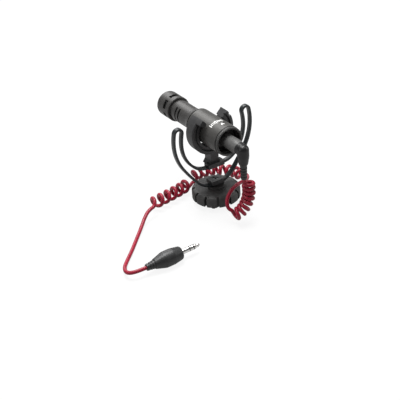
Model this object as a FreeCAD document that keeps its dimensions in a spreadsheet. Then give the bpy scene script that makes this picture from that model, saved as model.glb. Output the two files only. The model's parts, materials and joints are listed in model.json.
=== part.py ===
import FreeCAD, Part
import bisect
import math
import os
import re

import Sketcher
from FreeCAD import Placement, Rotation, Vector

# A camera-top microphone: a slotted barrel microphone in a clip on a flexible lyre, which stands on
# a shoe foot with a lock ring, and its curly patch cord. Millimetres. +Y is the way the microphone
# points, +Z is up, and the origin is the centre of the foot's underside.

SIZES = {
    # the microphone's axis and its barrel
    "mic_axis_height": 55.5,
    "joint_forward": 16.0,
    "barrel_length": 36.3,
    "barrel_radius": 10.5,
    "barrel_wall": 1.15,
    "joint_gap": 0.7,
    "joint_recess": 0.6,
    "spigot_length": 6.0,
    "spigot_wall": 1.0,
    "seat_clearance": 0.02,
    # the rear bezel and the cup behind it
    "bezel_length": 2.2,
    "bezel_inset": 0.2,
    "bezel_rim": 1.8,
    "bezel_bevel": 0.6,
    "bezel_spigot": 1.6,
    "cup_wall": 0.7,
    "cup_depth": 8.2,
    "cup_floor": 1.5,
    # the head tube
    "head_length": 27.4,
    "tube_radius": 7.8,
    "tube_wall": 1.0,
    "flare_length": 8.5,
    "flare_bend": 16.0,
    "neck_length": 2.2,
    "neck_depth": 0.6,
    "tube_slot_width": 1.5,
    "tube_slot_pitch": 3.7,
    "tube_slot_setback": 4.9,
    "tube_slot_sweep": 100.0,
    "tube_slot_rows": 2.0,
    # the cap
    "cap_radius": 9.3,
    "cap_length": 16.3,
    "cap_wall": 0.8,
    "cap_collar": 2.8,
    "cap_edge": 0.4,
    "cap_nose": 2.2,
    "cap_opening": 6.9,
    "cap_lip": 0.9,
    "cap_seat": 0.7,
    "cap_slot_width": 3.2,
    "cap_slot_setback": 5.4,
    "cap_slot_sweep": 43.0,
    "cap_slot_turn": 30.0,
    # the screens
    "screen_thickness": 0.3,
    "screen_gap": 0.15,
    "tube_screen_margin": 2.0,
    "front_mesh_thickness": 0.5,
    "mesh_hole": 0.38,
    "mesh_pitch": 1.4,
    "mesh_rim": 0.7,
    # the capsule, its boot and its leads
    "capsule_radius": 5.4,
    "capsule_length": 6.5,
    "capsule_wall": 0.4,
    "capsule_proud": 1.8,
    "sound_port": 1.6,
    "diaphragm_thickness": 0.2,
    "diaphragm_gap": 0.3,
    "back_plate_thickness": 0.8,
    "boot_length": 4.2,
    "lead_radius": 0.45,
    "lead_spread": 1.5,
    # the socket in the rear cup
    "socket_width": 10.0,
    "socket_drop": 4.2,
    "socket_share": 0.725,
    "socket_bore_clearance": 0.1,
    "bushing_radius": 3.0,
    "bushing_flange": 4.3,
    "bushing_flange_thickness": 0.6,
    "bushing_length": 4.0,
    "contact_thickness": 0.4,
    "contact_width": 1.4,
    "contact_gap": 3.2,
    "contact_tail": 1.6,
    "contact_proud": 0.05,
    # the circuit board
    "board_width_share": 1.433,
    "board_gap": 0.6,
    "board_thickness": 1.0,
    "board_height_share": 0.535,
    "chip_width": 4.0,
    "chip_length": 5.0,
    "chip_height": 1.2,
    "can_radius": 1.6,
    "can_height": 2.4,
    "can_setback": 2.2,
    # the clip
    "clip_width": 8.0,
    "clip_back": 1.0,
    "clip_gap": 0.9,
    "clip_thickness": 5.7,
    "clip_edge": 0.7,
    "clip_left_end": 38.0,
    "clip_right_end": 46.0,
    "inner_rim": 2.0,
    "inner_rim_setback": 0.5,
    "clip_groove_width": 1.2,
    "clip_groove_depth": 1.6,
    "left_lug_reach": 4.6,
    "left_lug_sweep": 14.0,
    "left_lug_relief": 1.2,
    "lug_bite": 3.0,
    "right_lug_sweep": 9.0,
    "right_notch_sweep": 9.0,
    "right_notch_depth": 1.4,
    "pad_clearance": 0.04,
    "pad_width": 5.0,
    "pad_sweep": 22.0,
    "low_pad_sweep": 60.0,
    "stem_width": 6.4,
    "stem_foot_width": 10.4,
    "stem_bite": 1.6,
    "saddle_width": 13.2,
    "saddle_jaw": 1.3,
    "saddle_top": 1.5,
    # the lyre, a closed strip of one section, from its lowest point to its inner bar
    "strip_thickness": 1.9,
    "strip_width": 3.4,
    "strip_round": 0.5,
    "lyre_height": 13.5,
    "bottom_bend": 20.0,
    "bottom_turn": 50.0,
    "side_bend": 126.0,
    "side_turn": 8.0,
    "shoulder_bend": 38.0,
    "shoulder_turn": 45.0,
    "hairpin_bend": 3.0,
    "inner_lead_bend": 40.0,
    "inner_lead_turn": 13.0,
    "inner_side_bend": 27.0,
    "inner_side_turn": 48.0,
    "inner_corner_bend": 14.8,
    # the clamp block and its screw
    "clamp_width": 10.4,
    "clamp_depth": 7.4,
    "clamp_height": 3.5,
    "screw_radius": 1.0,
    "screw_head_radius": 1.9,
    "screw_head_height": 1.5,
    "screw_socket": 0.8,
    "screw_sink": 0.4,
    "screw_length": 6.6,
    "screw_clearance": 0.1,
    # the foot
    "plate_width": 18.3,
    "plate_depth": 18.0,
    "plate_height": 1.9,
    "plate_edge": 1.0,
    "post_radius": 6.2,
    "post_crown": 0.8,
    "insert_radius": 5.4,
    "insert_bore": 4.76,
    "insert_length": 7.0,
    # the lock ring and its washer
    "rail_gap": 1.8,
    "thread_clearance": 0.05,
    "washer_thickness": 0.6,
    "washer_radius": 8.6,
    "well_radius": 9.4,
    "ring_radius": 17.4,
    "ring_height": 7.9,
    "ring_top_bevel": 3.0,
    "ring_top_drop": 2.0,
    "ring_dome": 3.4,
    "ring_bottom_bevel": 0.6,
    "notch_width": 1.7,
    "notch_depth": 2.4,
    "notch_count": 12.0,
    # what both plugs share
    "pin_radius": 1.75,
    "pin_core": 0.8,
    "sleeve_length": 5.6,
    "pin_ring_length": 2.5,
    "pin_gap": 0.6,
    "tip_length": 4.6,
    "tip_shoulder": 1.1,
    "tip_waist": 1.15,
    "tip_end": 0.6,
    "relief_groove": 0.45,
    "relief_groove_width": 0.8,
    # the right-angle plug in the microphone
    "angle_plug_gap": 0.3,
    "angle_plug_back": 35.0,
    "angle_barrel_radius": 4.8,
    "angle_barrel_edge": 0.7,
    "angle_barrel_taper": 7.0,
    "angle_body_radius": 4.1,
    "angle_body_drop": 10.5,
    "angle_body_taper": 6.0,
    "angle_body_tail": 3.1,
    "angle_dome": 3.8,
    "angle_relief_length": 11.0,
    "angle_relief_radius": 2.5,
    "angle_relief_end": 2.1,
    "angle_relief_grooves": 4.0,
    # the straight plug on the surface
    "far_plug_left": 84.0,
    "far_plug_back": 44.5,
    "far_relief_length": 5.6,
    "far_relief_radius": 3.0,
    "far_relief_end": 2.2,
    "far_relief_grooves": 2.0,
    "far_body_length": 20.4,
    "far_body_tail": 3.3,
    "far_body_radius": 5.5,
    "far_body_front": 4.5,
    "far_body_swell": 7.5,
    "far_body_straight": 6.0,
    "far_body_edge": 0.8,
    # the cord
    "cord_radius": 1.3,
    "curl_radius": 3.4,
    "curl_bend": 4.0,
    # how far cuts run past what they cut
    "overrun": 1.0,
}

# The bends of half the lyre's centre line: radius, turn, and 1 to the left or -1 to the right.
LYRE_BENDS = [
    ("bottom_bend", "bottom_turn", 1),
    ("side_bend", "side_turn", 1),
    ("shoulder_bend", "shoulder_turn", 1),
    ("hairpin_bend", "180", 1),
    ("inner_lead_bend", "inner_lead_turn", -1),
    ("inner_side_bend", "inner_side_turn", -1),
    ("inner_corner_bend", "inner_corner_turn", -1),
]


def lyre_rise():
    """The height of the lyre's inner bar, from the rise along each bend of its centre line."""
    heading, rise = "0", "lyre_height"
    for radius, turn, hand in LYRE_BENDS:
        sign = "+" if hand > 0 else "-"
        after = f"{heading} {sign} {turn}"
        rise += f" {sign} {radius} * (cos({heading}) - cos({after}))"
        heading = after
    return rise


# Places and fits that follow from the sizes, each along the microphone, the foot or a plug.
PLACES = {
    "mic_rear": "joint_forward - barrel_length",
    "barrel_back": "mic_rear + bezel_length",
    "barrel_bore": "barrel_radius - barrel_wall",
    "barrel_fit": "barrel_bore - seat_clearance",
    "cup_lip": "barrel_back + bezel_spigot",
    "cup_face": "mic_rear + cup_depth",
    "cup_front": "cup_face + cup_floor",
    "cup_inner": "barrel_fit - cup_wall",
    "bezel_opening": "barrel_radius - bezel_rim",
    "spigot_back": "joint_forward - spigot_length",
    "spigot_inner": "barrel_fit - spigot_wall",
    "flare_back": "joint_forward + joint_gap",
    "flare_front": "flare_back + flare_length",
    "cap_back": "joint_forward + head_length",
    "neck_back": "cap_back - neck_length",
    "tube_front": "cap_back + cap_collar",
    "tube_bore": "tube_radius - tube_wall",
    "cap_front": "cap_back + cap_length",
    "cap_bore": "cap_radius - cap_wall",
    "nose_back": "cap_front - cap_nose",
    "lip_back": "cap_front - cap_lip",
    "first_slot": "neck_back - tube_slot_setback",
    "last_slot": "first_slot - (tube_slot_rows - 1) * tube_slot_pitch",
    "capsule_front": "tube_front + capsule_proud",
    "capsule_back": "capsule_front - capsule_length",
    "back_plate_front": "capsule_back + back_plate_thickness",
    "board_front": "spigot_back - seat_clearance",
    "board_length": "board_front - cup_front - board_gap",
    "board_width": "board_width_share * barrel_bore",
    "board_height": "board_height_share * barrel_bore",
    "board_top": "board_height + board_thickness",
    "socket_bore": "pin_radius + socket_bore_clearance",
    "bushing_back": "cup_face - bushing_flange_thickness",
    "bushing_front": "bushing_back + bushing_length",
    "socket_length": "socket_share * board_length",
    "socket_front": "cup_front + socket_length",
    "contact_back": "bushing_front + contact_gap",
    "clip_inner": "barrel_radius + clip_gap",
    "clip_outer": "clip_inner + clip_thickness",
    "clip_front": "clip_width - clip_back",
    "clip_middle": "clip_width / 2 - clip_back",
    "groove_inner": "clip_inner + inner_rim",
    "groove_outer": "groove_inner + clip_groove_width",
    "groove_floor": "clip_groove_depth - clip_back",
    "inner_rim_back": "inner_rim_setback - clip_back",
    "left_lug_back": "-clip_back - left_lug_reach",
    "left_lug_front": "lug_bite - clip_back",
    "right_notch_turn": "clip_right_end + right_lug_sweep",
    "pad_inner": "barrel_radius + pad_clearance",
    "pad_outer": "clip_inner - seat_clearance",
    "strip_half": "strip_thickness / 2",
    "strip_side": "strip_width / 2",
    "inner_corner_turn": "(bottom_turn + side_turn + shoulder_turn - inner_lead_turn - inner_side_turn)",
    "bar_top": lyre_rise() + " + strip_half",
    "bar_bottom": "bar_top - strip_thickness",
    "saddle_floor": "bar_top + saddle_top",
    "bottom_middle": "lyre_height + bottom_bend",
    "strip_top": "lyre_height + strip_half",
    "strip_bottom": "lyre_height - strip_half",
    "post_top": "strip_bottom + post_crown",
    "clamp_top": "strip_top + clamp_height",
    "screw_seat": "clamp_top - screw_sink - screw_head_height",
    "screw_top": "clamp_top - screw_sink",
    "ring_low": "plate_height + rail_gap",
    "ring_bore": "post_radius + thread_clearance",
    "ring_high": "ring_low + ring_height",
    "washer_top": "ring_low + washer_thickness",
    "pin_length": "sleeve_length + pin_ring_length + tip_length + 2 * pin_gap",
    "angle_face": "bushing_back - angle_plug_gap",
    "angle_body_top": "mic_axis_height + angle_body_radius",
    "angle_body_low": "mic_axis_height - angle_body_drop",
    "far_relief_front": "far_relief_length - far_plug_left",
    "far_body_face": "far_relief_front + far_body_length",
}

# Where the capsule's leads bend, as shares of their way to the board.
LEAD_BEND_SHARES = (0.45, 0.8)

# The cord's route, chosen by hand, from the right-angle plug's relief to the straight plug's. Each
# stretch starts and ends halfway between its own points and its neighbours'.
ROUTE = {
    "coil_hanging": [
        (0.0, -35.0, 34.0),
        (0.0, -35.0, 28.6),
        (1.2, -34.8, 21.6),
        (1.2, -34.2, 14.6),
        (-0.6, -32.8, 8.4),
        (-4.2, -31.0, 3.4),
    ],
    "cord_loop": [
        (-9.6, -28.2, 6.2),
        (-9.8, -26.4, 12.8),
        (-7.4, -25.2, 18.6),
        (-2.6, -24.4, 22.4),
        (3.8, -23.2, 23.2),
        (10.4, -20.4, 21.4),
        (17.0, -15.0, 18.2),
        (22.6, -8.0, 14.6),
        (26.8, 0.6, 11.2),
    ],
    "coil_middle": [
        (29.6, 10.4, 8.8),
        (27.2, 20.0, 7.4),
        (19.4, 26.2, 6.2),
        (9.6, 29.2, 4.6),
        (-0.8, 28.4, 3.0),
    ],
    "coil_left": [
        (-10.4, 23.4, 2.3),
        (-20.0, 19.8, 4.3),
        (-30.0, 17.2, 6.7),
        (-39.6, 14.8, 8.6),
    ],
    "cord_lead": [
        (-47.4, 14.4, 9.0),
        (-53.0, 11.4, 6.6),
        (-58.6, 5.6, 3.2),
        (-65.6, -2.0, 1.6),
        (-73.0, -10.5, 1.4),
        (-80.5, -18.5, 1.4),
        (-88.0, -26.0, 1.8),
        (-94.0, -33.0, 2.8),
        (-96.0, -40.5, 4.2),
        (-91.0, -44.5, 5.5),
        (-84.0, -44.5, 5.5),
    ],
}

# How often each curled stretch goes round, and the way from its coil's middle to where it starts.
CURL_TURNS = {"coil_hanging": 7, "coil_middle": 7.5, "coil_left": 6.5}
START_DIRECTIONS = {"coil_hanging": (-1, 0, 0), "coil_middle": (0, 0, 1), "coil_left": (0, 0, -1)}
LEFT_HANDED = -1
CURVE_STEPS = 40
STATIONS_PER_TURN = 4
GAP_STEPS_PER_TURN = 24
DIRECTION_STEPS = 10000
HALVING_COUNT = 60
RUN_SHARE = 0.45
MESH_ROW_SHARE = math.sqrt(3) / 2

doc = FreeCAD.newDocument("CameraMicrophone")
sheet = doc.addObject("Spreadsheet::Sheet", "Sizes")
nodes = {}


def fill_sheet():
    """Puts each size in the sheet, as a plain number with its alias."""
    for row, (alias, number) in enumerate(SIZES.items(), start=1):
        sheet.set(f"A{row}", alias)
        sheet.set(f"B{row}", str(number))
        sheet.setAlias(f"B{row}", alias)
    doc.recompute()


def full(expression):
    """Writes an expression out in the sheet's sizes."""

    def written(match):
        word = match[0]
        if word in PLACES:
            return "(" + full(PLACES[word]) + ")"
        return "Sizes." + word if word in SIZES else word

    return re.sub(r"[a-z]\w*", written, expression)


def size(expression):
    """The number that an expression in the sizes gives."""
    return float(sheet.evalExpression(full(expression)))


def bind(thing, **expressions):
    """Binds an object's properties to expressions in the sizes."""
    for name, expression in expressions.items():
        thing.setExpression(name, full(expression))
    return thing


def place(thing, x="0", y="0", z="0", turn=None):
    """Turns an object, then binds its place to expressions."""
    thing.Placement = Placement(Vector(0, 0, 0), turn or Rotation())
    for axis, expression in (("x", x), ("y", y), ("z", z)):
        thing.setExpression("Placement.Base." + axis, full(expression))
    return thing


def node(name, thing):
    """Records an object as a finished piece under its own name."""
    thing.Label = name
    nodes[name] = thing
    return thing


# Turned and padded bodies

Z_TO_Y = Rotation(Vector(1, 0, 0), -90)
Y_TO_X = Rotation(Vector(0, 0, 1), -90)
TURNING_PLANES = {"Y": "XY_Plane", "Z": "XZ_Plane"}


def about_y(degrees):
    """A turn about the microphone's axis."""
    return Rotation(Vector(0, 1, 0), degrees)


def origin_feature(body, role):
    """A body's own origin plane or axis."""
    return [feature for feature in body.Origin.OriginFeatures if feature.Role == role][0]


def arc_middle(start, end, radius, side):
    """The middle of a short arc that bulges to the right of its chord, or to the left if side is -1."""
    chord = end - start
    half = chord.Length / 2
    rise = radius - math.sqrt(radius * radius - half * half)
    outward = Vector(chord.y, -chord.x, 0).normalize()
    return (start + end) * 0.5 + outward * (rise * side)


def outline_edge(sketch, start, end, bend):
    """Adds one edge to a sketch, and says which of its ends is the first and which the second."""
    if bend:
        middle = arc_middle(start, end, size(bend[0]), bend[1])
        edge = sketch.addGeometry(Part.Arc(start, middle, end))
    else:
        edge = sketch.addGeometry(Part.LineSegment(start, end))
    near = sketch.getPoint(edge, 1).distanceToPoint(start)
    far = sketch.getPoint(edge, 2).distanceToPoint(start)
    return (1, 2) if near < far else (2, 1)


def fix(sketch, kind, *where, value, expression):
    """Adds a constraint whose value is bound to the sizes."""
    number = sketch.addConstraint(Sketcher.Constraint(kind, *where, value))
    sketch.setExpression(f"Constraints[{number}]", full(expression))


def closed_sketch(body, plane, outline, name):
    """A sketch of a closed outline whose corners are bound to the sizes.

    A corner is two expressions, and may add the bend of the edge to the next corner: a radius and a side.
    """
    sketch = body.newObject("Sketcher::SketchObject", name)
    sketch.AttachmentSupport = [(origin_feature(body, plane), "")]
    sketch.MapMode = "FlatFace"
    corners = [Vector(size(item[0]), size(item[1]), 0) for item in outline]
    following = corners[1:] + corners[:1]
    bends = [item[2:] for item in outline]
    ends = [outline_edge(sketch, *edge) for edge in zip(corners, following, bends)]
    for index, item in enumerate(outline):
        after = (index + 1) % len(outline)
        first, second = ends[index]
        sketch.addConstraint(Sketcher.Constraint("Coincident", index, second, after, ends[after][0]))
        fix(sketch, "DistanceX", -1, 1, index, first, value=corners[index].x, expression=item[0])
        fix(sketch, "DistanceY", -1, 1, index, first, value=corners[index].y, expression=item[1])
        if bends[index]:
            fix(sketch, "Radius", index, value=size(item[2]), expression=item[2])
    return sketch


def turned(name, outline, along="Y", sweep="360"):
    """A body turned about one axis from an outline of (radius, place along the axis) corners."""
    body = doc.addObject("PartDesign::Body", name)
    sketch = closed_sketch(body, TURNING_PLANES[along], outline, name + "_outline")
    solid = body.newObject("PartDesign::Revolution", name + "_turning")
    solid.Profile = sketch
    solid.ReferenceAxis = (sketch, ["V_Axis"])
    bind(solid, Angle=sweep)
    doc.recompute()
    return body


def padded(name, plane, outline, depth):
    """A body of one outline, padded evenly to both sides of its plane."""
    body = doc.addObject("PartDesign::Body", name)
    sketch = closed_sketch(body, plane, outline, name + "_outline")
    pad = body.newObject("PartDesign::Pad", name + "_pad")
    pad.Profile = sketch
    pad.Midplane = True
    bind(pad, Length=depth)
    doc.recompute()
    return body


def ring_outline(inner, outer, low, high):
    """The outline of a plain ring."""
    return [(inner, low), (outer, low), (outer, high), (inner, high)]


def disc_outline(radius, low, high):
    """The outline of a plain disc."""
    return ring_outline("0", radius, low, high)


def at_mic(thing, turn=None):
    """Puts a piece that is made about the Y axis on the microphone's axis."""
    return place(thing, z="mic_axis_height", turn=turn)


def repeat_round(body, name, features, axis, count):
    """Repeats cuts evenly round one of a body's axes, and makes sure that they cut something."""
    uncut = body.Group[1].Shape.Volume
    doc.recompute()
    pattern = body.newObject("PartDesign::PolarPattern", name)
    pattern.Originals = features
    pattern.Axis = (origin_feature(body, axis), [""])
    pattern.Angle = 360
    bind(pattern, Occurrences=count)
    body.Tip = pattern
    doc.recompute()
    assert body.Shape.Volume < uncut, f"{name} cut nothing"


def cut_slots(body, name, rows, sweep, count):
    """Cuts rows of slots part of the way round the Y axis, centred on +X and repeated evenly."""
    grooves = []
    for number, outline in enumerate(rows):
        sketch = closed_sketch(body, "XY_Plane", outline, f"{name}_slot_outline_{number}")
        groove = body.newObject("PartDesign::Groove", f"{name}_slot_{number}")
        groove.Profile = sketch
        groove.ReferenceAxis = (sketch, ["V_Axis"])
        groove.Midplane = True
        bind(groove, Angle=sweep)
        grooves.append(groove)
    repeat_round(body, name + "_slots", grooves, "Y_Axis", count)


# Plain solids and what is done with them


def box(name, length, width, height, x="0", y="0", z="0"):
    """A box, placed by its lowest corner."""
    thing = bind(doc.addObject("Part::Box", name), Length=length, Width=width, Height=height)
    return place(thing, x, y, z)


def cylinder(name, radius, height, x="0", y="0", z="0", turn=None):
    """A cylinder, placed by the middle of its first end."""
    thing = bind(doc.addObject("Part::Cylinder", name), Radius=radius, Height=height)
    return place(thing, x, y, z, turn)


def paired(kind, name, base, tool):
    """One solid cut by another, or what the two share."""
    thing = doc.addObject("Part::" + kind, name)
    thing.Base = base
    thing.Tool = tool
    return thing


def joined(name, *pieces):
    """Solids fused into one."""
    thing = doc.addObject("Part::MultiFuse", name)
    thing.Shapes = list(pieces)
    return thing


def grouped(name, *pieces):
    """Solids kept apart in one piece."""
    thing = doc.addObject("Part::Compound", name)
    thing.Links = list(pieces)
    return thing


def given(name, shape):
    """An object that holds a shape made by a function here."""
    thing = doc.addObject("Part::Feature", name)
    thing.Shape = shape
    return thing


# The microphone


def build_barrel():
    """The barrel, its rear bezel and the cup that closes it behind."""
    tube = turned("barrel", ring_outline("barrel_bore", "barrel_radius", "barrel_back", "joint_forward"))
    node("barrel", at_mic(tube))
    rim = "barrel_radius - bezel_inset"
    bezel = turned(
        "rear_bezel",
        [
            ("bezel_opening + bezel_bevel", "mic_rear"),
            (f"{rim} - bezel_bevel / 2", "mic_rear"),
            (rim, "mic_rear + bezel_bevel / 2"),
            (rim, "barrel_back"),
            ("barrel_fit", "barrel_back"),
            ("barrel_fit", "cup_lip"),
            ("bezel_opening", "cup_lip"),
            ("bezel_opening", "mic_rear + bezel_bevel"),
        ],
    )
    node("rear_bezel", at_mic(bezel))
    hole = "bushing_radius + seat_clearance"
    cup = turned(
        "jack_cup",
        [
            ("cup_inner", "cup_lip"),
            ("barrel_fit", "cup_lip"),
            ("barrel_fit", "cup_front"),
            (hole, "cup_front"),
            (hole, "cup_face"),
            ("cup_inner", "cup_face"),
        ],
    )
    node("jack_cup", at_mic(cup))


def tube_slot(row):
    """The outline of one slot through the head tube's wall."""
    middle = f"first_slot - {row} * tube_slot_pitch"
    low = f"{middle} - tube_slot_width / 2"
    high = f"{middle} + tube_slot_width / 2"
    return ring_outline("tube_bore - screen_gap / 2", "tube_radius + overrun", low, high)


def build_head():
    """The head tube with its flare, slots and neck, and the seal at its joint."""
    neck = "tube_radius - neck_depth"
    tube = turned(
        "head_tube",
        [
            ("spigot_inner", "spigot_back"),
            ("barrel_fit", "spigot_back"),
            ("barrel_fit", "flare_back"),
            ("barrel_radius", "flare_back", "flare_bend", -1),
            ("tube_radius", "flare_front"),
            ("tube_radius", "neck_back"),
            (neck, "neck_back"),
            (neck, "cap_back"),
            ("tube_radius", "cap_back"),
            ("tube_radius", "tube_front"),
            ("tube_bore", "tube_front"),
            ("tube_bore", "flare_front"),
            ("spigot_inner", "flare_back"),
        ],
    )
    rows = [tube_slot(row) for row in range(int(size("tube_slot_rows")))]
    cut_slots(tube, "tube", rows, "tube_slot_sweep", "2")
    node("head_tube", at_mic(tube))
    hold, rim = "barrel_fit + seat_clearance", "barrel_radius - joint_recess"
    seal = turned("joint_seal", ring_outline(hold, rim, "joint_forward", "flare_back"))
    node("joint_seal", at_mic(seal))


def build_cap():
    """The slotted cap on the tube's front end."""
    hold = "tube_radius + seat_clearance"
    cap = turned(
        "head_cap",
        [
            (hold, "cap_back"),
            ("cap_radius - cap_edge", "cap_back"),
            ("cap_radius", "cap_back + cap_edge"),
            ("cap_radius", "nose_back", "cap_nose", 1),
            ("cap_radius - cap_nose", "cap_front"),
            ("cap_opening", "cap_front"),
            ("cap_opening", "lip_back"),
            ("cap_opening + cap_seat", "lip_back"),
            ("cap_bore", "nose_back"),
            ("cap_bore", "tube_front"),
            (hold, "tube_front"),
        ],
    )
    middle = "cap_back + cap_slot_setback"
    low, high = f"{middle} - cap_slot_width / 2", f"{middle} + cap_slot_width / 2"
    slot = ring_outline("cap_bore - screen_gap / 2", "cap_radius + overrun", low, high)
    cut_slots(cap, "cap", [slot], "cap_slot_sweep", "6")
    node("head_cap", at_mic(cap, about_y(size("cap_slot_turn"))))


def mesh_holes(reach):
    """The middles of the front mesh's holes: staggered rows within a reach of the centre."""
    pitch = size("mesh_pitch")
    row_rise = pitch * MESH_ROW_SHARE
    rows = int(reach / row_rise)
    columns = int(reach / pitch) + 1
    for row in range(-rows, rows + 1):
        for column in range(-columns, columns + 1):
            middle = Vector((column + row % 2 / 2) * pitch, row * row_rise, 0)
            if middle.Length <= reach:
                yield middle


def build_screens():
    """The holed disc in the cap's opening, and the fine screens behind the cap's and tube's slots."""
    disc = "cap_opening + cap_seat - screen_gap / 2"
    reach = size(f"{disc} - mesh_rim - mesh_hole")
    rim = Part.Wire(Part.makeCircle(size(disc)))
    holes = [Part.Wire(Part.makeCircle(size("mesh_hole"), middle)) for middle in mesh_holes(reach)]
    face = Part.makeFace([rim] + holes, "Part::FaceMakerCheese")
    mesh = given("front_mesh", face.extrude(Vector(0, 0, size("front_mesh_thickness"))))
    place(mesh, y="lip_back - front_mesh_thickness", z="mic_axis_height", turn=Z_TO_Y)
    node("front_mesh", mesh)
    margin = "tube_screen_margin"
    rings = {
        "cap_screen": ("cap_bore", "tube_front", "nose_back - front_mesh_thickness"),
        "tube_screen": ("tube_bore", f"last_slot - {margin}", f"first_slot + {margin}"),
    }
    for name, (bore, low, high) in rings.items():
        outer = f"{bore} - screen_gap"
        screen = turned(name, ring_outline(f"{outer} - screen_thickness", outer, low, high))
        node(name, at_mic(screen))


def build_capsule():
    """The microphone capsule in its rubber boot."""
    inside = "capsule_radius - capsule_wall"
    face_back = "capsule_front - capsule_wall"
    can = turned(
        "capsule_can",
        [
            ("sound_port", face_back),
            ("sound_port", "capsule_front"),
            ("capsule_radius", "capsule_front"),
            ("capsule_radius", "capsule_back"),
            (inside, "capsule_back"),
            (inside, face_back),
        ],
    )
    node("capsule_can", at_mic(can))
    front = f"{face_back} - diaphragm_gap"
    fit = f"{inside} - seat_clearance"
    diaphragm = turned("capsule_diaphragm", disc_outline(fit, f"{front} - diaphragm_thickness", front))
    node("capsule_diaphragm", at_mic(diaphragm))
    plate = turned("capsule_backplate", disc_outline(fit, "capsule_back", "back_plate_front"))
    node("capsule_backplate", at_mic(plate))
    hold = "capsule_radius + seat_clearance"
    boot = ring_outline(hold, "tube_bore - seat_clearance", "tube_front - boot_length", "tube_front")
    node("capsule_boot", at_mic(turned("capsule_boot", boot)))


def rounded_edges(points, radii):
    """Straight edges along the points, joined by tangent arcs as large as their two runs allow."""
    edges = []
    start = points[0]
    for before, corner, after in zip(points, points[1:], points[2:]):
        back = (before - corner).normalize()
        ahead = (after - corner).normalize()
        half_turn = (math.pi - back.getAngle(ahead)) / 2
        reach = RUN_SHARE * min(before.distanceToPoint(corner), after.distanceToPoint(corner))
        radius = reach / math.tan(half_turn)
        first, last = corner + back * reach, corner + ahead * reach
        inward = (back + ahead).normalize()
        middle = corner + inward * (radius / math.cos(half_turn) - radius)
        edges.append(Part.LineSegment(start, first).toShape())
        edges.append(Part.Arc(first, middle, last).toShape())
        radii.append(radius)
        start = last
    edges.append(Part.LineSegment(start, points[-1]).toShape())
    return edges


def swept_round(edges, radius):
    """A round bar of one radius along tangent edges."""
    first = edges[0]
    end = Part.makeCircle(radius, first.valueAt(first.FirstParameter), first.tangentAt(first.FirstParameter))
    return Part.Wire(edges).makePipeShell([Part.Wire(end)], True, False)


def build_leads():
    """The two leads from the capsule's back plate to the front edge of the board."""
    start, edge = size("capsule_back"), size("board_front")
    rise = size("board_height + board_thickness / 2")
    low_bend, high_bend = (start + (edge - start) * share for share in LEAD_BEND_SHARES)
    solids = []
    for side in (-1, 1):
        across = side * size("lead_spread")
        places = [(start, 0), (low_bend, 0), (high_bend, rise), (edge, rise)]
        edges = rounded_edges([Vector(across, along, up) for along, up in places], [])
        solids.append(swept_round(edges, size("lead_radius")))
    node("capsule_leads", at_mic(given("capsule_leads", Part.makeCompound(solids))))


def contact(name, degrees):
    """One contact spring, which lies beside the pin at an angle from its top."""
    strip = box(
        name + "_strip",
        "contact_width",
        "socket_front + contact_tail - contact_back",
        "contact_thickness",
        x="-contact_width / 2",
        y="contact_back",
        z="socket_bore - contact_proud",
    )
    return at_mic(grouped(name, strip), about_y(degrees))


def build_socket():
    """The socket that the plug's pin goes into, with its bushing and its contact springs."""
    springs = [contact("left_contact", -90), contact("right_contact", 90), contact("low_contact", 180)]
    contacts = node("jack_contacts", grouped("jack_contacts", *springs))
    housing = box(
        "socket_housing",
        "socket_width",
        "socket_length",
        "board_height + socket_drop",
        x="-socket_width / 2",
        y="cup_front",
        z="mic_axis_height - socket_drop",
    )
    back = "cup_front - overrun"
    at_axis = {"y": back, "z": "mic_axis_height", "turn": Z_TO_Y}
    bore = cylinder("socket_hole", "socket_bore", "socket_length + 2 * overrun", **at_axis)
    seat = cylinder("bushing_hole", "bushing_radius + seat_clearance", f"bushing_front - ({back})", **at_axis)
    holes = joined("socket_holes", bore, seat, contacts)
    node("jack_socket", paired("Cut", "jack_socket", housing, holes))
    bushing = turned(
        "jack_bushing",
        [
            ("socket_bore", "bushing_back"),
            ("bushing_flange", "bushing_back"),
            ("bushing_flange", "cup_face"),
            ("bushing_radius", "cup_face"),
            ("bushing_radius", "bushing_front"),
            ("socket_bore", "bushing_front"),
        ],
    )
    node("jack_bushing", at_mic(bushing))


def build_board():
    """The circuit board on top of the socket, and the parts soldered to it."""
    board = box(
        "circuit_board",
        "board_width",
        "board_length",
        "board_thickness",
        x="-board_width / 2",
        y="board_front - board_length",
        z="mic_axis_height + board_height",
    )
    node("circuit_board", board)
    chip = box(
        "board_chip",
        "chip_width",
        "chip_length",
        "chip_height",
        x="-chip_width / 2",
        y="board_front - board_length / 2 - chip_length / 2",
        z="mic_axis_height + board_top",
    )
    low = "mic_axis_height + board_height - can_height"
    spot = "board_front - can_setback"
    left = cylinder("left_can", "can_radius", "can_height", "-board_width / 4", spot, low)
    right = cylinder("right_can", "can_radius", "can_height", "board_width / 4", spot, low)
    node("board_parts", grouped("board_parts", chip, left, right))


# The clip


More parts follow.
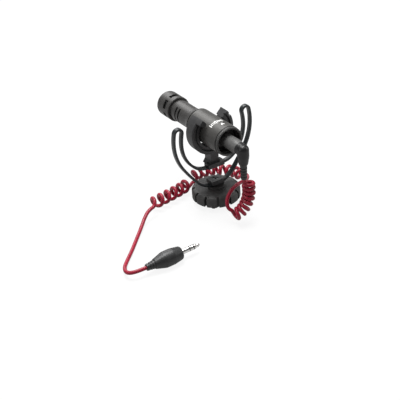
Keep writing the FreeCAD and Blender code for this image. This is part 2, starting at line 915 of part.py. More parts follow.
def build_clip_ring():
    """The open ring round the barrel, with a groove in its rear face and a lug at each tip."""
    section = [
        ("clip_inner", "inner_rim_back"),
        ("groove_inner", "inner_rim_back"),
        ("groove_inner", "groove_floor"),
        ("groove_outer", "groove_floor"),
        ("groove_outer", "-clip_back"),
        ("clip_outer - clip_edge", "-clip_back"),
        ("clip_outer", "clip_edge - clip_back"),
        ("clip_outer", "clip_front"),
        ("clip_inner", "clip_front"),
    ]
    ring = turned("clip_arc", section, sweep="360 - clip_left_end - clip_right_end")
    at_mic(ring, about_y(size("clip_right_end") - 90))
    lug_section = ring_outline("clip_inner + left_lug_relief", "clip_outer", "left_lug_back", "left_lug_front")
    lug = turned("left_lug", lug_section, sweep="left_lug_sweep")
    at_mic(lug, about_y(size("-clip_left_end - left_lug_sweep") - 90))
    notch_section = ring_outline(
        "clip_outer - right_notch_depth",
        "clip_outer + overrun",
        "-clip_back - overrun",
        "clip_front + overrun",
    )
    notch = turned("right_notch", notch_section, sweep="right_notch_sweep")
    at_mic(notch, about_y(size("right_notch_turn") - 90))
    return paired("Cut", "clip_ring", joined("lugged_ring", ring, lug), notch)


def build_clip():
    """The ring that holds the barrel, its stem, and the saddle that grips the lyre."""
    ring = build_clip_ring()
    shoulder = "saddle_floor + saddle_top"
    neck_top = "mic_axis_height - clip_outer + stem_bite"
    stem = padded(
        "clip_stem",
        "XZ_Plane",
        [
            ("-stem_foot_width / 2", "bar_top"),
            ("stem_foot_width / 2", "bar_top"),
            ("stem_width / 2", shoulder),
            ("stem_width / 2", neck_top),
            ("-stem_width / 2", neck_top),
            ("-stem_width / 2", shoulder),
        ],
        "clip_width",
    )
    place(stem, y="clip_middle")
    saddle = box(
        "clip_saddle",
        "saddle_width",
        "strip_width + 2 * saddle_jaw",
        "saddle_floor - bar_bottom",
        x="-saddle_width / 2",
        y="-strip_side - saddle_jaw",
        z="bar_bottom",
    )
    channel = box(
        "saddle_channel",
        "saddle_width + 2 * overrun",
        "strip_width + 2 * seat_clearance",
        "strip_thickness + overrun",
        x="-saddle_width / 2 - overrun",
        y="-strip_side - seat_clearance",
        z="bar_bottom - overrun",
    )
    node("mic_clip", paired("Cut", "mic_clip", joined("clip_solid", ring, stem, saddle), channel))


def pad(name, middle, sweep):
    """One liner pad inside the clip, centred at an angle from the top."""
    low, high = "clip_middle - pad_width / 2", "clip_middle + pad_width / 2"
    body = turned(name, ring_outline("pad_inner", "pad_outer", low, high), sweep=sweep)
    return at_mic(body, about_y(size(f"{middle} - {sweep} / 2") - 90))


def build_pads():
    """The three pads that the barrel turns in: one inside each tip and one at the bottom."""
    right = pad("right_pad", "clip_right_end + pad_sweep / 2", "pad_sweep")
    left = pad("left_pad", "-clip_left_end - pad_sweep / 2", "pad_sweep")
    low = pad("low_pad", "180", "low_pad_sweep")
    node("clip_pads", grouped("clip_pads", right, left, low))


# The lyre and the foot


def left_of(heading):
    """The direction to the left of a heading in the XZ plane."""
    return Vector(-math.sin(heading), 0, math.cos(heading))


def half_strip():
    """The centre line of the lyre's half on +X, from its lowest point to the middle of its inner bar."""
    edges = []
    heading = 0.0
    point = Vector(0, 0, size("lyre_height"))
    for radius_name, turn_name, hand in LYRE_BENDS:
        reach = size(radius_name) * hand
        turn = math.radians(size(turn_name)) * hand
        centre = point + left_of(heading) * reach
        middle = centre - left_of(heading + turn / 2) * reach
        heading += turn
        end = centre - left_of(heading) * reach
        edges.append(Part.Arc(point, middle, end).toShape())
        point = end
    edges.append(Part.LineSegment(point, Vector(0, 0, point.z)).toShape())
    return edges


def strip_section():
    """The lyre's section, a rectangle with rounded corners, at its lowest point."""
    half, side, bend = size("strip_half"), size("strip_side"), size("strip_round")
    middle = Vector(0, 0, size("lyre_height"))
    inset = bend * (1 - math.sqrt(0.5))
    edges = []
    for y_hand, z_hand in ((1, 1), (-1, 1), (-1, -1), (1, -1)):
        level = Vector(0, y_hand * side, z_hand * (half - bend))
        upright = Vector(0, y_hand * (side - bend), z_hand * half)
        between = Vector(0, y_hand * (side - inset), z_hand * (half - inset))
        corner = (level, between, upright) if y_hand == z_hand else (upright, between, level)
        edges.append(Part.Arc(*(middle + place for place in corner)).toShape())
        following = Vector(upright)
        if y_hand == z_hand:
            following.y = -following.y
            edges.append(Part.LineSegment(middle + upright, middle + following).toShape())
        else:
            following = Vector(0, level.y, -level.z)
            edges.append(Part.LineSegment(middle + level, middle + following).toShape())
    return Part.Wire(edges)


def build_lyre():
    """The lyre: one closed strip with a rounded section, and a hole for the clamp's screw."""
    half = Part.Wire(half_strip()).makePipeShell([strip_section()], True, False)
    strip = half.fuse(half.mirror(Vector(0, 0, 0), Vector(1, 0, 0))).removeSplitter()
    length = size("strip_thickness + 2 * overrun")
    foot = Vector(0, 0, size("strip_bottom - overrun"))
    hole = Part.makeCylinder(size("screw_radius + screw_clearance"), length, foot)
    node("lyre", place(given("lyre", strip.cut(hole))))


def build_clamp():
    """The block that clamps the lyre to the foot, and its screw."""
    depth = "clamp_depth"
    block = box(
        "clamp_block",
        "clamp_width",
        depth,
        "clamp_top - strip_bottom",
        x="-clamp_width / 2",
        y=f"-{depth} / 2",
        z="strip_bottom",
    )
    fit = "bottom_bend - strip_half - seat_clearance"
    inside = cylinder("clamp_inside", fit, depth, y=f"-{depth} / 2", z="bottom_middle", turn=Z_TO_Y)
    solid = paired("Common", "clamp_solid", block, inside)
    shaft, head = "screw_radius + screw_clearance", "screw_head_radius + screw_clearance"
    shaft_hole = cylinder("clamp_shaft_hole", shaft, "clamp_top - strip_bottom", z="strip_bottom")
    head_hole = cylinder("clamp_head_hole", head, "clamp_top - screw_seat + overrun", z="screw_seat")
    holes = joined("clamp_holes", shaft_hole, head_hole)
    node("lyre_clamp", paired("Cut", "lyre_clamp", solid, holes))
    socket_floor = "screw_top - screw_head_height / 2"
    screw = turned(
        "clamp_screw",
        [
            ("0", "screw_seat - screw_length"),
            ("screw_radius", "screw_seat - screw_length"),
            ("screw_radius", "screw_seat"),
            ("screw_head_radius", "screw_seat"),
            ("screw_head_radius", "screw_top"),
            ("screw_socket", "screw_top"),
            ("screw_socket", socket_floor),
            ("0", socket_floor),
        ],
        along="Z",
    )
    node("clamp_screw", screw)


def eased_plate():
    """The foot's square plate, with its upright edges chamfered."""
    plate = box(
        "foot_plate",
        "plate_width",
        "plate_depth",
        "plate_height",
        x="-plate_width / 2",
        y="-plate_depth / 2",
    )
    eased = doc.addObject("Part::Chamfer", "eased_plate")
    eased.Base = plate
    doc.recompute()
    edge = size("plate_edge")
    numbered = enumerate(plate.Shape.Edges, start=1)
    upright = [number for number, line in numbered if line.BoundBox.ZLength > edge]
    eased.Edges = [(number, edge, edge) for number in upright]
    return eased


def build_foot():
    """The shoe foot with its threaded post, and the threaded insert in its underside."""
    post = cylinder("foot_post", "post_radius", "post_top")
    length = "2 * (post_radius + overrun)"
    trough = cylinder(
        "post_trough",
        "bottom_bend + strip_half + seat_clearance",
        length,
        y="-post_radius - overrun",
        z="bottom_middle",
        turn=Z_TO_Y,
    )
    bore = cylinder("insert_hole", "insert_radius + seat_clearance", "insert_length + overrun", z="-overrun")
    screw_hole = cylinder("post_screw_hole", "screw_radius + seat_clearance", "post_top", z="0")
    holes = joined("foot_holes", trough, bore, screw_hole)
    node("shoe_foot", paired("Cut", "shoe_foot", joined("foot_solid", eased_plate(), post), holes))
    insert = ring_outline("insert_bore", "insert_radius", "0", "insert_length")
    node("thread_insert", turned("thread_insert", insert, along="Z"))


def build_lock_ring():
    """The notched lock ring, and the washer in its well that bears on the shoe's rails."""
    washer = ring_outline("ring_bore", "washer_radius", "ring_low", "washer_top")
    node("ring_washer", turned("ring_washer", washer, along="Z"))
    ring = turned(
        "lock_ring",
        [
            ("ring_bore", "washer_top"),
            ("well_radius", "washer_top"),
            ("well_radius", "ring_low"),
            ("ring_radius - ring_bottom_bevel", "ring_low"),
            ("ring_radius", "ring_low + ring_bottom_bevel"),
            ("ring_radius", "ring_high - ring_top_drop", "ring_dome", 1),
            ("ring_radius - ring_top_bevel", "ring_high"),
            ("ring_bore", "ring_high"),
        ],
        along="Z",
    )
    inner, outer = "ring_radius - notch_depth", "ring_radius + overrun"
    low, high = "-notch_width / 2", "notch_width / 2"
    notch_outline = [(inner, low), (outer, low), (outer, high), (inner, high)]
    notch = ring.newObject("PartDesign::Pocket", "notch")
    notch.Profile = closed_sketch(ring, "XY_Plane", notch_outline, "notch_outline")
    notch.Midplane = True
    bind(notch, Length="2 * (ring_high + overrun)")
    repeat_round(ring, "notches", [notch], "Z_Axis", "notch_count")
    node("lock_ring", ring)


# The plugs


def pin_outline():
    """The outline of a plug's pin from the plug's face to its tip, waisted for its two insulators."""
    ring = "sleeve_length + pin_gap"
    ring_end = f"{ring} + pin_ring_length"
    tip = f"{ring_end} + pin_gap"
    return [
        ("0", "0"),
        ("pin_radius", "0"),
        ("pin_radius", "sleeve_length"),
        ("pin_core", "sleeve_length"),
        ("pin_core", ring),
        ("pin_radius", ring),
        ("pin_radius", ring_end),
        ("pin_core", ring_end),
        ("pin_core", tip),
        ("pin_radius", tip),
        ("pin_radius", f"{tip} + tip_shoulder"),
        ("tip_waist", f"{tip} + 2 * tip_shoulder"),
        ("pin_radius - pin_gap / 2", f"{tip} + 3 * tip_shoulder"),
        ("tip_end", "pin_length"),
        ("0", "pin_length"),
    ]


def build_pin(name, **spot):
    """One plug's pin and its insulators."""
    node(name + "_pin", place(turned(name + "_pin", pin_outline()), **spot))
    rings = []
    for number, low in enumerate(("sleeve_length", "sleeve_length + pin_gap + pin_ring_length")):
        outline = ring_outline("pin_core", "pin_radius", low, f"{low} + pin_gap")
        rings.append(place(turned(f"{name}_insulator_{number}", outline), **spot))
    node(name + "_insulators", grouped(name + "_insulators", *rings))


def relief_outline(base, end, length, grooves):
    """The outline of a ribbed strain relief, from its base at zero back to its end."""
    count = int(size(grooves))
    points = [("0", "0"), (base, "0")]
    for number in range(1, count + 1):
        middle = f"-{length} * {number} / {count + 1}"
        rim = f"{base} + ({end} - {base}) * {number} / {count + 1}"
        near, far = f"{middle} + relief_groove_width / 2", f"{middle} - relief_groove_width / 2"
        points += [(rim, near), (f"{rim} - relief_groove", near)]
        points += [(f"{rim} - relief_groove", far), (rim, far)]
    return points + [(end, f"-{length}"), ("0", f"-{length}")]


def build_angle_plug():
    """The right-angle plug: a barrel along the microphone, an upright body and its ribbed relief."""
    reach = "angle_plug_back + angle_face"
    barrel = turned(
        "angle_barrel",
        [
            ("0", "0"),
            ("angle_dome", "0"),
            ("angle_barrel_radius", "angle_barrel_taper"),
            ("angle_barrel_radius", f"{reach} - angle_barrel_edge"),
            ("angle_barrel_radius - angle_barrel_edge", reach),
            ("0", reach),
        ],
    )
    place(barrel, y="-angle_plug_back", z="mic_axis_height")
    upright = turned(
        "angle_upright",
        [
            ("0", "angle_body_low"),
            ("angle_body_tail", "angle_body_low"),
            ("angle_body_radius", "angle_body_low + angle_body_taper"),
            ("angle_body_radius", "angle_body_top - angle_dome", "angle_dome", 1),
            ("angle_body_radius - angle_dome", "angle_body_top"),
            ("0", "angle_body_top"),
        ],
        along="Z",
    )
    place(upright, y="-angle_plug_back")
    node("angle_plug_body", joined("angle_plug_body", barrel, upright))
    size_names = ("radius", "end", "length", "grooves")
    outline = relief_outline(*("angle_relief_" + name for name in size_names))
    relief = turned("angle_plug_relief", outline, along="Z")
    node("angle_plug_relief", place(relief, y="-angle_plug_back", z="angle_body_low"))
    build_pin("angle_plug", y="angle_face", z="mic_axis_height")


def build_straight_plug():
    """The straight plug at the cord's far end, which lies on the surface."""
    spot = {"y": "-far_plug_back", "z": "far_body_radius", "turn": Y_TO_X}
    end = "far_body_length"
    body = turned(
        "straight_plug_body",
        [
            ("0", "0"),
            ("far_body_tail", "0"),
            ("far_body_radius", "far_body_swell"),
            ("far_body_radius", "far_body_swell + far_body_straight"),
            ("far_body_front", f"{end} - far_body_edge"),
            ("far_body_front - far_body_edge", end),
            ("0", end),
        ],
    )
    node("straight_plug_body", place(body, x="far_relief_front", **spot))
    size_names = ("radius", "end", "length", "grooves")
    outline = relief_outline(*("far_relief_" + name for name in size_names))
    relief = turned("straight_plug_relief", outline)
    node("straight_plug_relief", place(relief, x="far_relief_front", **spot))
    build_pin("straight_plug", x="far_body_face", **spot)


# The cord


def stretch_points(name):
    """A stretch's points, with its start and its end."""
    points = [Vector(*place) for place in ROUTE[name]]
    names = list(ROUTE)
    index = names.index(name)
    if index > 0:
        points.insert(0, (Vector(*ROUTE[names[index - 1]][-1]) + points[0]) * 0.5)
    if name != names[-1]:
        points.append((points[-1] + Vector(*ROUTE[names[index + 1]][0])) * 0.5)
    return points


def curl_axis(name):
    """Points on the smooth line that touches each leg of a stretch at its middle."""
    points = stretch_points(name)
    corners = points[1:-1]
    middles = [(corner + after) * 0.5 for corner, after in zip(corners, corners[1:])]
    line = []
    for start, corner, end in zip([points[0]] + middles, corners, middles + [points[-1]]):
        for step in range(CURVE_STEPS):
            share = step / CURVE_STEPS
            toward, onward = start + (corner - start) * share, corner + (end - corner) * share
            line.append(toward + (onward - toward) * share)
    return line + [points[-1]]


class Curl:
    """A cord that winds beside a smooth line, and lies along it at both ends.

    Unrolled from its coil, the cord is one bend, a straight run and a second bend.
    """

    def __init__(self, axis, turns, side):
        self.axis = axis
        self.radius = size("curl_radius")
        self.bend = size("curl_bend")
        self.sides = self.carried_sides(Vector(*side))
        self.lengths = [0.0]
        for before, after in zip(axis, axis[1:]):
            self.lengths.append(self.lengths[-1] + before.distanceToPoint(after))
        self.lead = 2 * size("cord_radius")
        self.advance = self.lengths[-1] - 2 * self.lead
        self.round = math.tau * turns * self.radius
        self.slope = self.found_slope()
        self.bend_run = self.bend * self.slope
        self.run = 2 * self.bend_run + self.straight_advance() / math.cos(self.slope)

    def straight_advance(self):
        """How far along the line the unrolled cord's straight run reaches."""
        return self.advance - 2 * self.bend * math.sin(self.slope)

    def found_slope(self):
        """The angle of the unrolled cord to the line that gives its turns, found by halving."""
        low, high = 0.0, math.pi / 2
        for _ in range(HALVING_COUNT):
            self.slope = (low + high) / 2
            bends = 2 * self.bend * (1 - math.cos(self.slope))
            wide = bends + math.tan(self.slope) * self.straight_advance() > self.round
            low, high = (low, self.slope) if wide else (self.slope, high)
        return self.slope

    def along(self, index):
        """The direction of the line at one of its points."""
        last = len(self.axis) - 1
        return (self.axis[min(index + 1, last)] - self.axis[max(index - 1, 0)]).normalize()

    def carried_sides(self, side):
        """A direction square to the line at each point, carried along it without twisting."""
        sides = []
        for index in range(len(self.axis)):
            along = self.along(index)
            side = (side - along * side.dot(along)).normalize()
            sides.append(side)
        return sides

    def unrolled(self, run):
        """How far along the line, and how far round the coil, the cord is after a run of its own."""
        if run > self.run / 2:
            along, across = self.unrolled(self.run - run)
            return self.advance - along, self.round - across
        if run < self.bend_run:
            angle = run / self.bend
            return self.bend * math.sin(angle), self.bend * (1 - math.cos(angle))
        rest = run - self.bend_run
        along = self.bend * math.sin(self.slope) + rest * math.cos(self.slope)
        return along, self.bend * (1 - math.cos(self.slope)) + rest * math.sin(self.slope)

    def at(self, run):
        """The middle of the cord after a run of its own."""
        along, across = self.unrolled(run)
        length = self.lead + along
        index = min(bisect.bisect_right(self.lengths, length) - 1, len(self.axis) - 2)
        share = (length - self.lengths[index]) / (self.lengths[index + 1] - self.lengths[index])
        base = self.axis[index] * (1 - share) + self.axis[index + 1] * share
        way = self.along(index) * (1 - share) + self.along(index + 1) * share
        side = self.sides[index] * (1 - share) + self.sides[index + 1] * share
        eased = (along / self.advance) ** 2 * (3 - 2 * along / self.advance)
        angle, last = LEFT_HANDED * across / self.radius, LEFT_HANDED * self.round / self.radius
        level = math.cos(angle) - 1 + eased * (1 - math.cos(last))
        rise = math.sin(angle) - eased * math.sin(last)
        return base + side * (self.radius * level) + way.cross(side) * (self.radius * rise)

    def direction(self, run):
        """The cord's direction after a run of its own."""
        step = self.run / DIRECTION_STEPS
        return (self.at(run + step) - self.at(run - step)).normalize()

    def least_gap(self):
        """The least space between two of its turns."""
        per_turn = self.run / (self.round / (math.tau * self.radius))
        count = int(self.run / per_turn * GAP_STEPS_PER_TURN)
        points = [self.at(self.run * step / count) for step in range(count + 1)]
        apart = GAP_STEPS_PER_TURN * 5 // 8
        pairs = ((i, j) for i in range(count + 1) for j in range(i + apart, count + 1))
        return min(points[i].distanceToPoint(points[j]) for i, j in pairs) - 2 * size("cord_radius")


def arc_from(start, way, end, radii):
    """The arc that leaves a place in one direction and ends at another place."""
    chord = end - start
    half_angle = way.getAngle(chord)
    bulge = (way - chord * (way.dot(chord) / chord.dot(chord))).normalize()
    middle = (start + end) * 0.5 + bulge * (chord.Length / 2 * math.tan(half_angle / 2))
    radii.append(chord.Length / (2 * math.sin(half_angle)))
    return start, middle, end


def biarc(start, start_way, end, end_way, radii):
    """Two arcs that leave one place and reach another in given directions."""
    span = end - start
    a = 2 * (start_way.dot(end_way) - 1)
    b = -2 * span.dot(start_way + end_way)
    c = span.dot(span)
    reach = 2 * c / (-b + math.sqrt(b * b - 4 * a * c))
    joint = (start + start_way * reach + end - end_way * reach) * 0.5
    first = arc_from(start, start_way, joint, radii)
    second = arc_from(end, end_way * -1, joint, radii)
    return [Part.Arc(*first).toShape(), Part.Arc(*reversed(second)).toShape()]


def build_curl(name, turns):
    """One curled stretch: straight at both ends, and pairs of arcs between quarter turns."""
    axis = curl_axis(name)
    curl = Curl(axis, turns, START_DIRECTIONS[name])
    start_way, end_way = curl.along(0), curl.along(len(axis) - 1)
    first, last = axis[0] + start_way * curl.lead, axis[-1] - end_way * curl.lead
    count = round(turns * STATIONS_PER_TURN)
    inner = [curl.run * step / count for step in range(1, count)]
    places = [first] + [curl.at(run) for run in inner] + [last]
    ways = [start_way] + [curl.direction(run) for run in inner] + [end_way]
    radii = []
    edges = [Part.LineSegment(axis[0], first).toShape()]
    for index in range(count):
        edges += biarc(places[index], ways[index], places[index + 1], ways[index + 1], radii)
    edges.append(Part.LineSegment(last, axis[-1]).toShape())
    print(f"{name}: tightest arc {min(radii):.2f}, least gap between turns {curl.least_gap():.2f}")
    add_cord(name, edges)


def build_smooth(name):
    """One stretch without curls: straight runs joined by tangent arcs."""
    radii = []
    edges = rounded_edges(stretch_points(name), radii)
    print(f"{name}: arc radii", ", ".join(f"{radius:.1f}" for radius in radii))
    add_cord(name, edges)


def add_cord(name, edges):
    """Sweeps the cord along edges, and compares its volume with its section times its length."""
    radius = size("cord_radius")
    solid = swept_round(edges, radius)
    length = sum(edge.Length for edge in edges)
    ideal = math.pi * radius * radius * length
    low = solid.BoundBox.ZMin
    print(f"{name}: length {length:.1f}, volume {solid.Volume:.1f} against {ideal:.1f}, lowest {low:.2f}")
    node(name, place(given(name, solid)))


def build_cord():
    """The patch cord: three curled stretches, and the smooth ones between and after them."""
    for name in ROUTE:
        if name in CURL_TURNS:
            build_curl(name, CURL_TURNS[name])
        else:
            build_smooth(name)


def check_objects():
    """Stops if anything in the document failed or any piece isn't a valid solid."""
    for thing in doc.Objects:
        bad = {"Invalid", "Error"} & set(thing.State)
        assert not bad, f"{thing.Label} is {bad}"
    for name, thing in nodes.items():
        shape = thing.Shape
        assert not shape.isNull() and shape.isValid() and shape.Solids, f"{name} isn't a valid solid"


fill_sheet()
build_barrel()
build_head()
build_cap()
build_screens()
build_capsule()
build_board()
build_leads()
build_socket()
build_clip()
build_pads()
build_lyre()
build_clamp()
build_foot()
build_lock_ring()
build_angle_plug()
build_straight_plug()
build_cord()
doc.recompute()
check_objects()
os.makedirs("parts", exist_ok=True)
for name, thing in nodes.items():
    thing.Shape.exportStep(f"parts/{name}.step")
print(len(nodes), "pieces")
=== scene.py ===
"""Dresses an on-camera microphone: its cord, finishes, softened edges, printed marks and stage."""

import json
from math import cos, pi, radians, sin
from typing import NamedTuple

import bmesh
import bpy
from mathutils import Matrix, Vector


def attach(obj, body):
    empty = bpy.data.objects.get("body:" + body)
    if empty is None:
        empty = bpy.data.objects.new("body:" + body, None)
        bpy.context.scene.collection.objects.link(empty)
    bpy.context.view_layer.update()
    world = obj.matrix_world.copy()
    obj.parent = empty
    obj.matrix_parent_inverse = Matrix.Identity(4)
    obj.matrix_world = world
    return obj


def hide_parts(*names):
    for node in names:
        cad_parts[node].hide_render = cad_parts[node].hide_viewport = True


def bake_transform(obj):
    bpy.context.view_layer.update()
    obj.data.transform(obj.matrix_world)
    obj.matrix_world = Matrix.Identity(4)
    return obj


bl_info = {
    "name": "Camera microphone",
    "version": (1, 0, 0),
    "blender": (4, 5, 0),
    "location": "3D View > Sidebar > Microphone",
    "description": "Dresses the parts of an on-camera microphone on its shock mount",
    "category": "Object",
}

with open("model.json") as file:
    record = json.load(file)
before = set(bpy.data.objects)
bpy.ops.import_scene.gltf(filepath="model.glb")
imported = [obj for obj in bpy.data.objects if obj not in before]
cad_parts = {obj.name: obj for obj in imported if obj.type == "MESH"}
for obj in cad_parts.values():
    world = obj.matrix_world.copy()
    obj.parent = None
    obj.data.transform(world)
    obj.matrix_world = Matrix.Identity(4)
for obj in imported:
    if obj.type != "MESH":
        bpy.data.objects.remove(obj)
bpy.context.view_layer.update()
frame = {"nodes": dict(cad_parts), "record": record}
MM = 0.001

# The microphone's own axis runs along Y at this height.
AXIS_HEIGHT = 55.5 * MM

# The cord's route in millimetres, stretch by stretch, from the right-angle plug's relief to the
# straight plug's. The curled stretches wind round it.
ROUTE = {
    "coil_hanging": [
        (0.0, -35.0, 34.0),
        (0.0, -35.0, 28.6),
        (1.0, -34.8, 22.0),
        (-0.6, -34.2, 15.6),
        (-4.2, -33.0, 11.2),
        (-7.4, -31.6, 9.4),
    ],
    "cord_loop": [
        (-10.0, -29.4, 11.4),
        (-9.8, -27.4, 15.2),
        (-7.2, -25.8, 18.8),
        (-2.4, -24.6, 22.4),
        (3.8, -23.2, 23.2),
        (10.4, -20.4, 21.4),
        (17.0, -15.0, 18.2),
        (22.6, -8.0, 14.6),
        (26.8, 0.6, 11.2),
    ],
    "coil_middle": [
        (29.6, 10.4, 8.8),
        (27.2, 20.0, 7.4),
        (19.4, 26.2, 6.2),
        (9.6, 29.2, 4.6),
        (-0.8, 28.4, 3.0),
    ],
    "coil_left": [
        (-11.0, 21.8, 2.3),
        (-22.6, 16.9, 4.4),
        (-34.4, 13.2, 6.5),
        (-45.4, 10.0, 8.0),
    ],
    "cord_lead": [
        (-51.6, 8.2, 7.4),
        (-56.6, 5.2, 5.0),
        (-61.0, 1.4, 3.0),
        (-66.2, -3.4, 1.6),
        (-73.0, -10.5, 1.4),
        (-80.5, -18.5, 1.4),
        (-88.0, -26.0, 1.8),
        (-94.0, -33.0, 2.8),
        (-96.0, -40.5, 4.2),
        (-91.0, -44.5, 5.5),
        (-84.0, -44.5, 5.5),
    ],
}


class Curl(NamedTuple):
    """How a curled stretch is wound."""

    turns: float
    # The side that the first turn starts from.
    start_side: tuple
    # How far it runs straight before its first turn and after its last, in millimetres.
    leads: tuple
    # How wide its turns are beside the plain width.
    width: float
    # The share of the stretch that its first and last turns open over.
    opening: float


CURLS = {
    "coil_hanging": Curl(7.75, (-1, 0, 0), (3.0, 0.6), 1.0, 0.1),
    "coil_middle": Curl(7.5, (0, 0, 1), (3.0, 3.0), 1.0, 0.1),
    "coil_left": Curl(5.75, (0, 0, -1), (1.5, 1.5), 1.06, 0.16),
}
# How finely the route is read and its stretches are divided, and how round the cord is.
ROUTE_STEPS = 48
CURL_POINTS_PER_TURN = 28
PLAIN_STRETCH_POINTS = 90
CORD_ROUNDNESS = 8

# The CAD's nodes that copies stand in for: each one's material slot, the body that it moves with,
# and how far its edges are rounded in millimetres. The lyre bends, so it has no one body.
SOFTENED = {
    "mic_clip": ("clip_plastic", "cradle", 0.35),
    "lyre": ("lyre_plastic", None, 0.5),
    "lyre_clamp": ("clip_plastic", "root", 0.3),
    "shoe_foot": ("foot_plastic", "root", 0.25),
    "lock_ring": ("ring_plastic", "lock_ring", 0.35),
    "barrel": ("barrel_metal", "microphone", 0.2),
    "rear_bezel": ("bezel_metal", "microphone", 0.15),
    "jack_cup": ("inner_plastic", "microphone", 0.12),
    "head_tube": ("head_metal", "microphone", 0.12),
    "head_cap": ("head_metal", "microphone", 0.25),
    "angle_plug_body": ("plug_plastic", "cradle", None),
    "angle_plug_relief": ("plug_plastic", "cradle", 0.12),
    "straight_plug_body": ("plug_plastic", "root", None),
    "straight_plug_relief": ("plug_plastic", "root", 0.12),
}
# The plugs' bodies are blended into one skin instead of rounded, and these are their finishes.
OVERMOULDED = {"angle_plug_body": "angle_plug", "straight_plug_body": "plug_plastic"}
# The lyre bends between its clamp's top and its inner bar's underside, in millimetres up.
BENDING = {"lyre": (16.5, 29.5)}
# The nodes whose finish isn't their slot's.
OWN_FINISHES = {"clamp_screw": "dark_steel"}

# How near a copy's points are for them to be joined, and how flat an edge is for it to go.
JOIN_DISTANCE = 0.002 * MM
FLAT_ANGLE = radians(0.6)
# How far a copy's faces turn at an edge that is rounded, and other meshes' at one that stays sharp.
EDGE_ANGLE = radians(38.0)
SHARP_ANGLE = radians(32.0)
BEVEL_SEGMENTS = 3
# How fine the plugs' skin is, and how strongly and how often it is smoothed.
SKIN_VOXEL = 0.28 * MM
SKIN_SMOOTHING = (0.5, 20)

# Places along the microphone's axis: the groove's front edge, where its painted shade begins, and
# where the right-angle plug's two tones meet.
GROOVE_EDGE = (-17.72 * MM, -17.62 * MM)
PLUG_TONES_MEET = (-31.4 * MM, -31.1 * MM)

# How many ribs and wires go round the axis, and how far apart the rings of wire are.
BEZEL_RIBS = 120.0
SCREEN_WIRES = 150.0
SCREEN_WIRE_SPACING = 0.3 * MM

# How far the shaders round edges, and the surfaces' grain in repeats for each metre.
METAL_ROUNDING = 0.15 * MM
PLASTIC_ROUNDING = 0.25 * MM
SMALL_ROUNDING = 0.1 * MM
ROUNDING_SAMPLES = 6
# How much the rounded surface still faces as the flat one does, where an edge begins and where
# it is whole.
EDGE_FACING = (0.995, 0.86)
BLASTED_GRAIN = 9000.0
TURNED_GRAIN = 6000.0
MOULD_GRAIN = 5200.0
LYRE_GRAIN = 3600.0
SATIN_GRAIN = 3000.0

# The printed marks. The ink is just above the barrel, whose radius is 10.5 mm, and their places
# are along its axis.
INK_RADIUS = 10.525 * MM
INK_THICKNESS = 0.03 * MM
TRIANGLE_PLACE = -12.5 * MM
TRIANGLE_SIZE = 1.7 * MM
TICK_PLACE = -7.4 * MM
TICK_COUNT = 9
# Which tick, counted from nought, is on the barrel's top. It falls between two.
TICK_ON_TOP = 5.4
TICK_SPACING = 1.22 * MM
TICK_WIDTH = 0.66 * MM
TICK_LENGTH = 2.3 * MM
LONG_TICK_LENGTH = 3.1 * MM
TICKS_PER_LONG_ONE = 4

# The floor's grey under lamps, its glow, and how much of the glow each kind of ray sees.
FLOOR_SIZE = 3.0
FLOOR_GREY = (0.34, 0.34, 0.34, 1.0)
FLOOR_GLOW = 1.2
GLOW_SEEN = 0.74
GLOW_MIRRORED = 0.3
# How brightly the world lights the object, and how much brighter the camera sees it.
WORLD_LIGHT = 0.17
WORLD_SEEN = 0.73
WHITE = (1.0, 1.0, 1.0, 1.0)

# The lamps: each one's place, its size and its power in watts. They point at one place.
LAMPS = {
    "over_lamp": ((0.05, 0.16, 0.9), 0.6, 13.0),
    "left_lamp": ((-0.85, 0.1, 0.5), 0.5, 1.5),
    "right_lamp": ((0.75, -0.35, 0.45), 0.5, 1.8),
    "back_lamp": ((0.2, 0.9, 0.6), 0.6, 4.0),
}
LAMPS_AIM = (-0.01, 0.0, 0.04)

# How far the picture's middle lies to the left of the origin and below it.
VIEW_LEFT = 12.0 * MM
VIEW_DOWN = 0.38 * MM
SENSOR_WIDTH = 36.0
NEAREST_SEEN = 0.01


# Shader sums


class Level:
    """A shader value that sums can be written with."""

    def __init__(self, nodes, socket):
        self.nodes = nodes
        self.socket = socket

    def __add__(self, other):
        return self.nodes.math("ADD", self, other)

    def __sub__(self, other):
        return self.nodes.math("SUBTRACT", self, other)

    def __rsub__(self, other):
        return self.nodes.math("SUBTRACT", other, self)

    def __mul__(self, other):
        return self.nodes.math("MULTIPLY", self, other)

    __radd__ = __add__
    __rmul__ = __mul__


class Nodes:
    """The nodes of a material or of the world."""

    def __init__(self, tree):
        self.tree = tree

    def node(self, kind, settings=None, sockets=None, output=0):
        """Adds a node from its type, its settings and its sockets, and gives one of its outputs."""
        made = self.tree.nodes.new(kind)
        for name, value in (settings or {}).items():
            setattr(made, name, value)
        for name, value in (sockets or {}).items():
            self.feed(made.inputs[name], value)
        return Level(self, made.outputs[output])

    def feed(self, socket, value):
        """Links a socket to another's output, or sets it."""
        if isinstance(value, Level):
            self.tree.links.new(value.socket, socket)
        else:
            socket.default_value = value

    def math(self, operation, *values):
        """A Math node on its values."""
        return self.node("ShaderNodeMath", {"operation": operation}, dict(enumerate(values)))

    def ray(self, kind):
        """One for a light ray of this kind, and nought for another."""
        return self.node("ShaderNodeLightPath", output=f"Is {kind} Ray")


